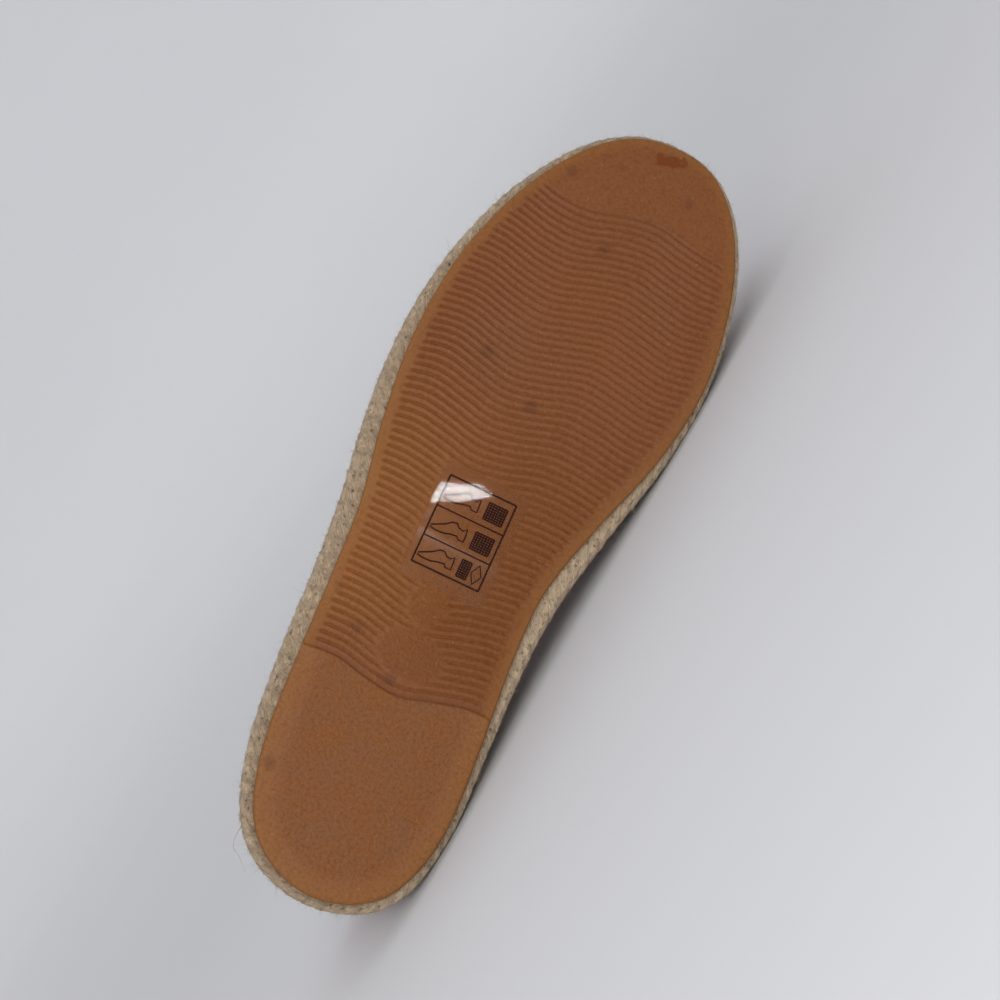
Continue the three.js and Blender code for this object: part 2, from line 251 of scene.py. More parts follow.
def round_the_sole(lateral, medial):
    """A smooth closed line over the angle round the sole, from two columns of SOLE."""
    turns = turn_at(SOLE[:, 0])
    back = (2 * math.pi - turns[1:-1])[::-1]
    values = np.concatenate([SOLE[:, lateral], SOLE[1:-1, medial][::-1]])
    return line_through(np.concatenate([turns, back]), values, 2 * math.pi)


edge_y = round_the_sole(1, 2)
proud = round_the_sole(3, 4)


def outline_point(turn, outward):
    """Points at a distance outward of the rubber's edge, and the outward directions there."""
    step = 0.001
    turn = np.asarray(turn, float)
    along = np.stack([
        length_at(turn + step) - length_at(turn - step),
        edge_y(turn + step) - edge_y(turn - step),
    ], axis=-1)
    along /= np.linalg.norm(along, axis=-1, keepdims=True)
    normal = np.stack([along[..., 1], -along[..., 0]], axis=-1)
    point = np.stack([length_at(turn), edge_y(turn)], axis=-1)
    return point + normal * np.asarray(outward, float)[..., None], normal


def underside(x):
    """Height of the rubber's lower face beside its heel patch: raised waist, arch, toe spring."""
    raised = HEEL_STEP * (1 - smooth_step(WAIST[1], BALL_FLAT[0], x))
    waist = np.clip((x - WAIST[0]) / (WAIST[1] - WAIST[0]), 0, 1)
    spring = TOE_SPRING * (np.maximum(0, x - BALL_FLAT[1]) / (LENGTH - BALL_FLAT[1])) ** 2
    return raised + ARCH * np.sin(math.pi * waist) ** 2 + spring


def soft_noise(points, size, shift=0.0):
    """Smooth noise, -1 to 1, over an array of points; size is its grain in the points' own unit."""
    flat = np.asarray(points, float).reshape(-1, 3) / size + shift
    values = np.fromiter((noise.noise(Vector(p)) for p in flat.tolist()), float, len(flat))
    return values.reshape(np.asarray(points).shape[:-1])


def grid_faces(rows, columns, closed=False, start=0):
    """Quads over a grid of points; closed joins the last column to the first."""
    row, column = np.meshgrid(np.arange(rows - 1), np.arange(columns if closed else columns - 1),
                              indexing="ij")
    a = start + row * columns + column
    b = start + row * columns + (column + 1) % columns
    return np.stack([a, b, b + columns, a + columns], axis=-1).reshape(-1, 4)


def closing_faces(count, start):
    """Faces across a ring of points, from each point to the one opposite on the other side."""
    i = np.arange(count // 2)
    quads = np.stack([i, i + 1, (count - i - 1) % count, (count - i) % count], axis=-1) + start
    corners = (list(dict.fromkeys(quad)) for quad in quads.tolist())
    return [face for face in corners if len(face) > 2]


def vertex_normals(points, faces):
    """Unit normals of the points of a mesh of quads."""
    corners = points[faces]
    across = np.cross(corners[:, 2] - corners[:, 0], corners[:, 3] - corners[:, 1])
    normals = np.zeros_like(points)
    for corner in range(4):
        np.add.at(normals, faces[:, corner], across)
    return normals / np.maximum(np.linalg.norm(normals, axis=1, keepdims=True), 1e-12)


def add_piece(name, points, faces, materials, attributes=None, face_materials=None, closed=True):
    """A mesh in the shoe's millimetres, laid down; its vertices keep their place on the shoe."""
    points = np.asarray(points, float)
    mesh = bpy.data.meshes.new(name)
    mesh.from_pydata(lay_down(points).tolist(), [], [list(face) for face in faces])
    for label, values in {"shoe": points, **(attributes or {})}.items():
        values = np.asarray(values, np.float32)
        vector = values.ndim == 2
        layer = mesh.attributes.new(label, "FLOAT_VECTOR" if vector else "FLOAT", "POINT")
        layer.data.foreach_set("vector" if vector else "value", values.ravel())
    for material in materials:
        mesh.materials.append(material)
    if face_materials is not None:
        mesh.polygons.foreach_set("material_index", np.asarray(face_materials, np.int32))
    if closed:
        body = bmesh.new()
        body.from_mesh(mesh)
        bmesh.ops.remove_doubles(body, verts=body.verts, dist=1e-6)
        bmesh.ops.recalc_face_normals(body, faces=body.faces)
        body.to_mesh(mesh)
        body.free()
    mesh.shade_smooth()
    mesh.update()
    piece = bpy.data.objects.new(name, mesh)
    bpy.context.scene.collection.objects.link(piece)
    return piece


# Shaders

class Wiring:
    """Adds nodes to one tree and joins them."""

    def __init__(self, tree):
        self.tree = tree

    def add(self, kind, inputs=None, group=None, **settings):
        node = self.tree.nodes.new(kind)
        if group:
            node.node_tree = group
        for name, value in settings.items():
            setattr(node, name, value)
        for name, value in (inputs or {}).items():
            if isinstance(value, bpy.types.NodeSocket):
                self.tree.links.new(value, node.inputs[name])
            else:
                node.inputs[name].default_value = value
        return node

    def place(self, group, **inputs):
        named = {name.replace("_", " "): value for name, value in inputs.items()}
        return self.add("ShaderNodeGroup", named, group=bpy.data.node_groups[group]).outputs

    def math(self, operation, *values):
        return self.add("ShaderNodeMath", dict(enumerate(values)), operation=operation).outputs[0]

    def mottle(self, vector, size, contrast):
        return self.place("mottle", Place=vector, Size=size, Contrast=contrast)["Mask"]

    def specks(self, vector, size, share):
        return self.place("specks", Place=vector, Size=size, Share=share)["Mask"]

    def mix(self, factor, first, second):
        inputs = {0: factor, 6: opaque(first), 7: opaque(second)}
        return self.add("ShaderNodeMix", inputs, data_type="RGBA").outputs[2]

    def tint(self, colour, mask, amount, other):
        return self.mix(self.math("MULTIPLY", mask, amount), colour, other)

    def remap(self, value, low, high, to_low=0.0, to_high=1.0):
        inputs = {"Value": value, "From Min": low, "From Max": high,
                  "To Min": to_low, "To Max": to_high}
        return self.add("ShaderNodeMapRange", inputs).outputs[0]

    def noise(self, vector, size, detail=3.0, roughness=0.55):
        inputs = {"Vector": vector, "Scale": 1 / size, "Detail": detail, "Roughness": roughness}
        return self.add("ShaderNodeTexNoise", inputs).outputs[0]

    def stretch(self, vector, scale):
        inputs = {0: vector, 1: scale}
        return self.add("ShaderNodeVectorMath", inputs, operation="MULTIPLY").outputs[0]

    def attribute(self, name):
        return self.add("ShaderNodeAttribute", attribute_name=name).outputs

    def bump(self, height, strength, distance, normal=None):
        inputs = {"Height": height, "Strength": strength, "Distance": distance}
        if normal:
            inputs["Normal"] = normal
        return self.add("ShaderNodeBump", inputs).outputs[0]


def opaque(colour):
    """A colour with its alpha, where it is a plain colour."""
    return (*colour, 1.0) if isinstance(colour, (tuple, list)) and len(colour) == 3 else colour


def new_group(name, inputs, outputs):
    """A shader node group with named sockets: its wiring, what comes in and what goes out."""
    tree = bpy.data.node_groups.new(name, "ShaderNodeTree")
    for label, kind, value in inputs:
        socket = tree.interface.new_socket(name=label, in_out="INPUT", socket_type=kind)
        if value is not None:
            socket.default_value = value
    for label, kind in outputs:
        tree.interface.new_socket(name=label, in_out="OUTPUT", socket_type=kind)
    wires = Wiring(tree)
    return wires, wires.add("NodeGroupInput").outputs, wires.add("NodeGroupOutput").inputs


FLOAT, VECTOR, COLOUR = "NodeSocketFloat", "NodeSocketVector", "NodeSocketColor"


def make_mottle_group():
    """Large soft patches with a finer cloud in them, for uneven dye, rubber and dust."""
    inputs = [("Place", VECTOR, None), ("Size", FLOAT, 20.0), ("Contrast", FLOAT, 1.0)]
    wires, given, out = new_group("mottle", inputs, [("Mask", FLOAT)])
    scale = wires.math("DIVIDE", 1.0, given["Size"])
    broad = wires.add("ShaderNodeTexNoise", {"Vector": given["Place"], "Scale": scale,
                                             "Detail": 2.0, "Roughness": 0.5}).outputs[0]
    fine_scale = wires.math("MULTIPLY", scale, 5.0)
    fine = wires.add("ShaderNodeTexNoise", {"Vector": given["Place"], "Scale": fine_scale,
                                            "Detail": 4.0, "Roughness": 0.6}).outputs[0]
    both = wires.math("MULTIPLY_ADD", fine, 0.35, wires.math("MULTIPLY", broad, 0.65))
    centred = wires.math("MULTIPLY", wires.math("SUBTRACT", both, 0.5), 4.0)
    spread = wires.math("MULTIPLY_ADD", centred, given["Contrast"], 0.5)
    wires.tree.links.new(wires.remap(spread, 0.0, 1.0), out["Mask"])


def make_weave_group():
    """Plain weave: threads of one width that go over and under each other."""
    inputs = [("Cloth", VECTOR, None), ("Thread", FLOAT, 0.7)]
    wires, given, out = new_group("weave", inputs, [("Height", FLOAT), ("Gap", FLOAT),
                                                    ("Tone", FLOAT)])
    parts = wires.add("ShaderNodeSeparateXYZ", {"Vector": given["Cloth"]}).outputs
    warp = wires.math("DIVIDE", parts["X"], given["Thread"])
    weft = wires.math("DIVIDE", parts["Y"], given["Thread"])

    def across(count):
        share = wires.math("FRACT", count)
        return wires.math("SINE", wires.math("MULTIPLY", share, math.pi))

    cells = wires.math("ADD", wires.math("FLOOR", warp), wires.math("FLOOR", weft))
    over = wires.math("PINGPONG", cells, 1.0)
    under = wires.math("SUBTRACT", 1.0, over)
    warp_round, weft_round = across(warp), across(weft)
    warp_height = wires.math("MULTIPLY", warp_round,
                             wires.math("MULTIPLY_ADD", wires.math("MULTIPLY", over, weft_round),
                                        0.6, 0.4))
    weft_height = wires.math("MULTIPLY", weft_round,
                             wires.math("MULTIPLY_ADD", wires.math("MULTIPLY", under, warp_round),
                                        0.6, 0.4))
    height = wires.math("MAXIMUM", warp_height, weft_height)
    wires.tree.links.new(height, out["Height"])
    wires.tree.links.new(wires.remap(height, 0.15, 0.5, 1.0, 0.0), out["Gap"])
    lines = wires.add("ShaderNodeCombineXYZ", {
        "X": wires.math("FLOOR", warp),
        "Y": wires.math("MULTIPLY", wires.math("FLOOR", weft), 3.7),
        "Z": wires.math("MULTIPLY", over, 11.0),
    }).outputs[0]
    slub = wires.add("ShaderNodeTexWhiteNoise", {"Vector": lines}, noise_dimensions="3D")
    wires.tree.links.new(slub.outputs[0], out["Tone"])


def make_fibre_group():
    """Fine hairs that run along one direction of a surface: X across them, Y along them."""
    inputs = [("Strand", VECTOR, None), ("Width", FLOAT, 0.25), ("Length", FLOAT, 4.0)]
    wires, given, out = new_group("fibres", inputs, [("Height", FLOAT), ("Tone", FLOAT)])
    parts = wires.add("ShaderNodeSeparateXYZ", {"Vector": given["Strand"]}).outputs
    thin = wires.add("ShaderNodeCombineXYZ", {
        "X": wires.math("DIVIDE", parts["X"], given["Width"]),
        "Y": wires.math("DIVIDE", parts["Y"], given["Length"]),
        "Z": parts["Z"],
    }).outputs[0]
    close = wires.add("ShaderNodeTexNoise", {"Vector": thin, "Scale": 1.0, "Detail": 3.0,
                                             "Roughness": 0.6, "Distortion": 0.6}).outputs[0]
    loose = wires.add("ShaderNodeTexNoise", {"Vector": thin, "Scale": 0.31, "Detail": 2.0,
                                             "Roughness": 0.5, "Distortion": 1.2}).outputs[0]
    wires.tree.links.new(wires.remap(close, 0.3, 0.7), out["Height"])
    wires.tree.links.new(wires.remap(loose, 0.32, 0.68), out["Tone"])


def make_speck_group():
    """Small scattered specks, for lint, grit and flecks."""
    inputs = [("Place", VECTOR, None), ("Size", FLOAT, 1.0), ("Share", FLOAT, 0.1)]
    wires, given, out = new_group("specks", inputs, [("Mask", FLOAT)])
    scale = wires.math("DIVIDE", 1.0, given["Size"])
    cells = wires.add("ShaderNodeTexVoronoi", {"Vector": given["Place"], "Scale": scale})
    chance = wires.add("ShaderNodeSeparateColor", {"Color": cells.outputs["Color"]}).outputs[0]
    chosen = wires.math("LESS_THAN", chance, given["Share"])
    dot = wires.remap(cells.outputs["Distance"], 0.12, 0.3, 1.0, 0.0)
    wires.tree.links.new(wires.math("MULTIPLY", chosen, dot), out["Mask"])


def new_material(name):
    """A material with its wiring and its Principled shader."""
    material = bpy.data.materials.new(name)
    material.use_nodes = True
    wires = Wiring(material.node_tree)
    shader = material.node_tree.nodes["Principled BSDF"]
    return material, wires, shader


def finish_shader(wires, shader, colour, roughness, normal=None, **fixed):
    """Joins what changes over the surface and sets what is the same all over it."""
    wires.tree.links.new(colour, shader.inputs["Base Color"])
    wires.tree.links.new(roughness, shader.inputs["Roughness"])
    if normal:
        wires.tree.links.new(normal, shader.inputs["Normal"])
    for name, value in fixed.items():
        shader.inputs[name.replace("_", " ")].default_value = value


def rubber_material(settings):
    """Tan moulded rubber: ochre at its rim, greyer on the pebbled heel, with painted shade in the grooves
    and a painted shadow at the heel patch's step.
    """
    material, wires, shader = new_material("tan_rubber")
    shoe = wires.attribute("shoe")["Vector"]
    patch = wires.attribute("patch")["Fac"]
    groove = wires.attribute("groove")["Fac"]
    rim = wires.attribute("rim")["Fac"]
    chip = wires.attribute("chip")["Fac"]
    step = wires.attribute("step")["Fac"]
    clouds = wires.mottle(shoe, 34.0, 0.8)
    fine = wires.mottle(shoe, 5.0, 0.9)
    waist = wires.attribute("waist")["Fac"]
    colour = wires.mix(clouds, tuple(settings.brown), tuple(settings.warm_brown))
    across = wires.add("ShaderNodeSeparateXYZ", {"Vector": shoe}).outputs["Y"]
    lateral = wires.remap(across, 5.0, -28.0)
    waist_colour = wires.mix(lateral, tuple(settings.waist_brown), srgb(138, 85, 34))
    colour = wires.tint(colour, waist, 0.8, waist_colour)
    smudges = wires.mottle(shoe, 12.0, 1.0)
    greyer = wires.math("MULTIPLY_ADD", fine, 0.3, wires.math("MULTIPLY", smudges, 0.7))
    heel = wires.mix(greyer, tuple(settings.heel_brown), srgb(118, 77, 46))
    colour = wires.tint(colour, patch, 0.85, heel)
    colour = wires.tint(colour, rim, 0.7, tuple(settings.ochre))
    grain = wires.remap(wires.noise(shoe, 1.1, 5.0, 0.8), 0.36, 0.64)
    amount = wires.remap(patch, 0.0, 1.0, 0.26, 0.34)
    colour = wires.tint(colour, grain, amount, srgb(152, 100, 64))
    dim = wires.math("MULTIPLY", wires.remap(grain, 0.5, 0.0), amount)
    colour = wires.mix(dim, colour, srgb(84, 46, 22))
    # painted shade: the rubber is darkened in the groove valleys
    colour = wires.tint(colour, groove, 0.16, srgb(60, 32, 14))
    # painted shadow: a dark soft band just in front of the heel patch's step
    colour = wires.tint(colour, step, 0.34, srgb(90, 50, 22))
    colour = wires.mix(chip, colour, srgb(112, 56, 16))
    grit = wires.specks(shoe, 1.5, 0.07)
    colour = wires.tint(colour, grit, 0.22, srgb(170, 124, 90))
    stains = wires.specks(shoe, 9.0, 0.16)
    colour = wires.tint(colour, stains, 0.32, srgb(66, 40, 28))
    pebble = wires.add("ShaderNodeTexVoronoi", {"Vector": shoe, "Scale": 1.3,
                                                "Randomness": 1.0}, feature="SMOOTH_F1")
    pebbles = wires.remap(pebble.outputs["Distance"], 0.1, 0.75)
    creases = wires.noise(shoe, 0.7, 4.0, 0.7)
    heel_height = wires.math("MULTIPLY_ADD", creases, 1.2, wires.math("MULTIPLY", pebbles, -0.5))
    rounds = wires.attribute("rounds")["Fac"]
    pebbled = wires.math("MAXIMUM", patch, rounds)
    inner = wires.math("MULTIPLY", pebbled, wires.remap(rim, 0.0, 0.5, 1.0, 0.0))
    skin = wires.noise(shoe, 1.6, 5.0, 0.6)
    normal = wires.bump(heel_height, wires.math("MULTIPLY", inner, 0.55), 0.0006)
    normal = wires.bump(skin, 0.16, 0.0004, normal)
    rough = wires.remap(fine, 0.0, 1.0, settings.roughness - 0.07, settings.roughness + 0.07)
    rough = wires.math("MULTIPLY_ADD", chip, -0.22, rough)
    finish_shader(wires, shader, colour, rough, normal, Specular_IOR_Level=0.2)
    return material


def jute_material(settings, name="jute_braid"):
    """Natural jute: straw and brown fibres along each strand, painted paler on the medial side as painted
    light, with painted shade in the braid's creases and needle holes.
    """
    material, wires, shader = new_material(name)
    shoe = wires.attribute("shoe")["Vector"]
    strand = wires.attribute("strand")["Vector"]
    crease = wires.attribute("crease")["Fac"]
    hole = wires.attribute("hole")["Fac"]
    fibres = wires.place("fibres", Strand=strand, Width=0.34, Length=3.2)
    felt = wires.noise(shoe, 1.5, 6.0, 0.75)
    clouds = wires.mottle(shoe, 16.0, 0.9)
    colour = wires.mix(clouds, tuple(settings.straw), tuple(settings.grey_straw))
    across = wires.add("ShaderNodeSeparateXYZ", {"Vector": shoe}).outputs["Y"]
    # painted light: the medial side faces away from the lamps and is painted paler to make up for it
    medial = wires.remap(across, 8.0, 28.0, 0.0, 0.6)
    colour = wires.mix(medial, colour, srgb(246, 218, 182))
    colour = wires.tint(colour, fibres["Tone"], 0.45, tuple(settings.brown))
    dark = wires.remap(felt, 0.54, 0.66)
    colour = wires.tint(colour, dark, 0.68, srgb(116, 92, 68))
    light = wires.remap(felt, 0.46, 0.34)
    colour = wires.tint(colour, light, 0.55, srgb(232, 212, 182))
    # painted shade: darker in the creases between the braid's strands
    colour = wires.tint(colour, crease, 0.28, srgb(150, 122, 90))
    flecks = wires.specks(shoe, 2.0, 0.22)
    colour = wires.tint(colour, flecks, 0.7, srgb(104, 78, 54))
    # painted shade: near-black in the needle holes and pits
    colour = wires.mix(hole, colour, srgb(44, 32, 24))
    height = wires.math("ADD", wires.math("MULTIPLY", fibres["Height"], 0.7), felt)
    normal = wires.bump(height, 0.95, 0.0007)
    rough = wires.remap(fibres["Height"], 0.0, 1.0, 0.82, 0.98)
    finish_shader(wires, shader, colour, rough, normal, Specular_IOR_Level=0.2, Sheen_Weight=0.12,
                  Sheen_Roughness=0.6)
    return material


def cloth_material(name, base, shade, thread, strength=0.6):
    """Plain-woven cotton: each thread a little lighter or darker, with dye that varies softly."""
    material, wires, shader = new_material(name)
    shoe = wires.attribute("shoe")["Vector"]
    cloth = wires.attribute("cloth")["Vector"]
    worn = wires.attribute("worn")["Fac"]
    wobble = wires.add("ShaderNodeTexNoise", {"Vector": shoe, "Scale": 0.25, "Detail": 2.0})
    shift = wires.stretch(wires.add("ShaderNodeVectorMath", {0: wobble.outputs["Color"],
                                                             1: (0.5, 0.5, 0.5)},
                                    operation="SUBTRACT").outputs[0], (0.9, 0.9, 0.0))
    lines = wires.add("ShaderNodeVectorMath", {0: cloth, 1: shift}, operation="ADD").outputs[0]
    weave = wires.place("weave", Cloth=lines, Thread=thread)
    clouds = wires.mottle(shoe, 22.0, 0.8)
    colour = wires.mix(clouds, base, shade)
    pale = tuple(min(1.0, 1.35 * channel + 0.03) for channel in base)
    colour = wires.mix(wires.remap(weave["Tone"], 0.0, 1.0, 0.0, 0.32), colour, pale)
    # painted shade: darker in the gaps between the threads
    colour = wires.tint(colour, weave["Gap"], 0.5,
                       tuple(0.42 * channel for channel in shade))
    colour = wires.tint(colour, worn, 0.35, pale)
    lint = wires.noise(shoe, 0.35, 3.0, 0.6)
    height = wires.math("MULTIPLY_ADD", lint, 0.25, weave["Height"])
    normal = wires.bump(height, strength, 0.00035)
    rough = wires.remap(weave["Height"], 0.0, 1.0, 0.95, 0.78)
    finish_shader(wires, shader, colour, rough, normal, Specular_IOR_Level=0.25, Sheen_Weight=0.2,
                  Sheen_Roughness=0.5)
    return material


def thread_material(name, base):
    """Twisted thread: turns of its plies, with painted shade darkening the grooves between them."""
    material, wires, shader = new_material(name)
    cloth = wires.attribute("cloth")["Vector"]
    parts = wires.add("ShaderNodeSeparateXYZ", {"Vector": cloth}).outputs
    turns = wires.math("ADD", wires.math("MULTIPLY", parts["X"], 1.6), parts["Y"])
    ply = wires.math("PINGPONG", turns, 0.5)
    clouds = wires.mottle(cloth, 3.0, 0.7)
    pale = tuple(min(1.0, 1.25 * channel + 0.02) for channel in base)
    # painted shade: darker in the grooves between the plies
    colour = wires.mix(wires.remap(ply, 0.0, 0.35), tuple(0.5 * channel for channel in base), base)
    colour = wires.tint(colour, clouds, 0.4, pale)
    normal = wires.bump(ply, 0.6, 0.0003)
    rough = wires.remap(ply, 0.0, 0.5, 0.95, 0.75)
    finish_shader(wires, shader, colour, rough, normal, Specular_IOR_Level=0.25, Sheen_Weight=0.2,
                  Sheen_Roughness=0.5)
    return material


def film_material():
    """Clear label film: thin, glossy at its toe end, duller with finger marks to the heel."""
    material, wires, shader = new_material("label_film")
    shoe = wires.attribute("shoe")["Vector"]
    clouds = wires.mottle(shoe, 8.0, 1.0)
    colour = wires.mix(clouds, srgb(104, 60, 30), srgb(114, 68, 38))
    rough = wires.remap(clouds, 0.0, 1.0, 0.015, 0.035)
    along = wires.add("ShaderNodeSeparateXYZ", {"Vector": shoe}).outputs["X"]
    rough = wires.math("MULTIPLY_ADD", wires.remap(along, 108.0, 101.0), 0.4, rough)
    ripple = wires.noise(shoe, 7.0, 1.0, 0.4)
    normal = wires.bump(ripple, 0.05, 0.0003)
    finish_shader(wires, shader, colour, rough, normal, Alpha=0.06, Specular_IOR_Level=0.4)
    return material


def ink_material():
    """Dark print on the film, slightly broken."""
    material, wires, shader = new_material("label_ink")
    shoe = wires.attribute("shoe")["Vector"]
    broken = wires.noise(shoe, 0.5, 3.0, 0.6)
    colour = wires.mix(wires.remap(broken, 0.45, 0.7), srgb(38, 16, 11), srgb(64, 32, 22))
    rough = wires.remap(broken, 0.3, 0.7, 0.6, 0.75)
    finish_shader(wires, shader, colour, rough, Specular_IOR_Level=0.12)
    return material


def paper_material(settings):
    """Pale matt paper, very slightly uneven, and painted paler with distance from the middle as painted
    light against the lamps' falloff.
    """
    material, wires, shader = new_material("pale_paper")
    place = wires.add("ShaderNodeNewGeometry").outputs["Position"]
    clouds = wires.mottle(place, 0.35, 0.5)
    away = wires.add("ShaderNodeVectorMath", {0: place}, operation="LENGTH").outputs["Value"]
    paler = tuple(min(1.0, 1.36 * channel) for channel in settings.paper)
    # painted light: paler with distance from the middle, to offset the lamps' falloff
    colour = wires.mix(wires.remap(away, 0.3, 1.6), tuple(settings.paper), paler)
    colour = wires.tint(colour, clouds, 0.04, srgb(150, 150, 156))
    rough = wires.remap(clouds, 0.0, 1.0, 0.86, 0.94)
    finish_shader(wires, shader, colour, rough, Specular_IOR_Level=0.1)
    return material


# Shapes of the sole

def wave(s, y):
    """How far a groove leads at y, for the groove that crosses the middle at s."""
    places = list(GROOVE_WAVES)
    lines = [line_through(WAVE_STATIONS, GROOVE_WAVES[place])(y) for place in places]
    here = np.clip(s, places[0], places[-1])
    total = np.zeros(np.broadcast(here, y).shape)
    for i, line in enumerate(lines):
        before = places[i - 1] if i else places[i] - 1
        after = places[i + 1] if i + 1 < len(places) else places[i] + 1
        weight = np.clip(np.minimum((here - before) / (places[i] - before),
                                    (after - here) / (after - places[i])), 0, 1)
        total = total + weight * line
    heel_fade = smooth_step(6, places[0] - 4, s)
    toe_fade = 1 - smooth_step(places[-1] + 2, LENGTH - 4, s)
    return total * heel_fade * toe_fade


EDGE_STEPS = np.array([0, 0.1, 0.25, 0.45, 0.7, 1.1, 1.7, 2.4, 3.0, 3.5, 4.0, 4.5, 5.0, 5.6, 6.4])
MIDDLE_COLUMNS = 40
NARROW = 26


def sole_grid(rows):
    """Points across the sole, a waved row for each place in rows, closer together near both edges."""
    s = np.asarray(rows, float)[:, None]
    middle = np.linspace(0, 1, MIDDLE_COLUMNS + 2)[1:-1]
    count = len(EDGE_STEPS)
    centre = slice(count, -count)
    x = s + np.zeros((1, 2 * count + MIDDLE_COLUMNS))
    y = np.zeros_like(x)
    for _ in range(10):
        turn = turn_at(x)
        lateral, medial = edge_y(turn), edge_y(2 * math.pi - turn)
        width = np.maximum(medial - lateral, 0)
        scale = np.clip(width / NARROW, 0, 1)
        steps = EDGE_STEPS * scale[:, :count]
        reach = EDGE_STEPS[-1] * scale
        y[:, :count] = lateral[:, :count] + steps
        y[:, -count:] = medial[:, -count:] - steps[:, ::-1]
        y[:, centre] = (lateral[:, centre] + reach[:, centre]
                        + middle * (width[:, centre] - 2 * reach[:, centre]))
        x = np.clip(s + wave(s, y), 0, LENGTH)
    return x, y


def distance_from(cloud, points):
    """Distance of each of an array of points from the nearest point of a cloud."""
    tree = KDTree(len(cloud))
    for i, point in enumerate(cloud.tolist()):
        tree.insert(point, i)
    tree.balance()
    flat = points.reshape(-1, 3).tolist()
    return np.fromiter((tree.find(p)[2] for p in flat), float, len(flat)).reshape(points.shape[:-1])


def distance_in(x, y):
    """Distance of each point of two arrays from the sole's outline."""
    turns = np.linspace(0, 2 * math.pi, 3600, endpoint=False)
    outline, _ = outline_point(turns, np.zeros_like(turns))
    outline = np.concatenate([outline, np.zeros((len(outline), 1))], axis=1)
    return distance_from(outline, np.stack([x, y, np.zeros_like(x)], axis=-1))


def groove_marks(settings):
    """Places along the sole where rows of points go: even on each groove, and round both ends."""
    count = round((LAST_GROOVE - FIRST_GROOVE) / (settings.groove_pitch / MM))
    pitch = (LAST_GROOVE - FIRST_GROOVE) / count
    grooved = np.arange(FIRST_GROOVE - pitch / 2, LAST_GROOVE + pitch * 0.51, pitch / ROWS_A_GROOVE)
    breast = np.array([-1.0, -0.6, -0.3, 0.0, 0.3, 0.6]) + BREAST
    heel_turn, toe_turn = turn_at(breast[0] - 0.8), turn_at(grooved[-1] + 0.8)
    heel = length_at(np.linspace(0, heel_turn, 46))
    toe = length_at(np.linspace(toe_turn, math.pi, 56))
    front = np.arange(breast[-1] + 0.5, grooved[0] - 0.3, 0.5)
    return np.concatenate([heel, breast, front, grooved, toe]), pitch


def rounds_away(x, y):
    """How far each point is from the middle of each blank round, 1 on its edge."""
    return [np.hypot((x - cx) / half_x, (y - cy) / half_y)
            for cx, cy, half_x, half_y in BLANK_ROUNDS]


def groove_depth(x, y, s, pitch, distance):
    """How deep the grooves are, as a share, for each point."""
    count = (s - FIRST_GROOVE) / pitch
    number = np.round(count)
    off = (count - number) * pitch
    rng = np.random.default_rng(SEED)
    jitter = rng.uniform(-0.45, 0.45, (2, 200))
    inside = (number >= 0) & (s < LAST_GROOVE + pitch * 0.5) & (s > FIRST_GROOVE - pitch * 0.5)
    index = np.clip(number, 0, 199).astype(int)
    lateral_side = y < 0
    margin = np.where(lateral_side, MARGIN_LATERAL + jitter[0][index],
                      MARGIN_MEDIAL + jitter[1][index])
    ends = smooth_step(margin, margin + 1.4, distance)
    clear = np.ones_like(x)
    for away in rounds_away(x, y):
        clear *= smooth_step(1.0, 1.1, away)
    turned_x, turned_y = label_place(x, y)
    outside = np.maximum(np.abs(turned_x) - LABEL_SIZE[0] / 2, np.abs(turned_y) - LABEL_SIZE[1] / 2)
    clear *= smooth_step(-0.2, 0.5, outside)
    strong = 1.0 + 0.5 * smooth_step(-8, -30, y)
    valley = strong * bump_at(off, 0.44) + 0.16 * (1 - np.cos(2 * math.pi * count)) * -0.5
    return np.where(inside, valley * ends * clear, 0.0)


def label_place(x, y):
    """Place on the label, from its middle, along and across it."""
    dx, dy = x - LABEL_MIDDLE[0], y - LABEL_MIDDLE[1]
    cos, sin = math.cos(LABEL_TURN), math.sin(LABEL_TURN)
    return dx * cos + dy * sin, dy * cos - dx * sin


def rounds_rim(x, y):
    """Faint raised rings just inside the edge of the blank rounds."""
    return sum(bump_at(away - 0.9, 0.05) for away in rounds_away(x, y))


def inside_rounds(x, y):
    """1 inside the blank rounds, 0 outside."""
    return np.maximum.reduce([1 - smooth_step(0.9, 1.0, away) for away in rounds_away(x, y)])


class SoleSettings(bpy.types.PropertyGroup):
    """Rubber outsole"""
    groove_pitch: FloatProperty(name="Groove pitch", description="From one groove to the next",
                                default=0.00242, unit="LENGTH")
    groove_depth: FloatProperty(name="Groove depth", description="Depth of the moulded grooves",
                                default=0.00042, unit="LENGTH")
    roughness: FloatProperty(name="Roughness", description="Mean roughness of the rubber",
                             default=0.5, min=0, max=1, subtype="FACTOR")
    brown: FloatVectorProperty(name="Brown", description="Rubber", default=srgb(115, 67, 32),
                               subtype="COLOR")
    warm_brown: FloatVectorProperty(name="Warm brown", description="Warmer patches of the rubber",
                                    default=srgb(120, 67, 29), subtype="COLOR")
    waist_brown: FloatVectorProperty(name="Waist brown", description="Rubber at the waist",
                                     default=srgb(110, 60, 6), subtype="COLOR")
    heel_brown: FloatVectorProperty(name="Heel brown", description="Rubber of the heel patch",
                                    default=srgb(126, 73, 24), subtype="COLOR")
    ochre: FloatVectorProperty(name="Ochre", description="Rubber near its edge",
                               default=srgb(128, 82, 33), subtype="COLOR")


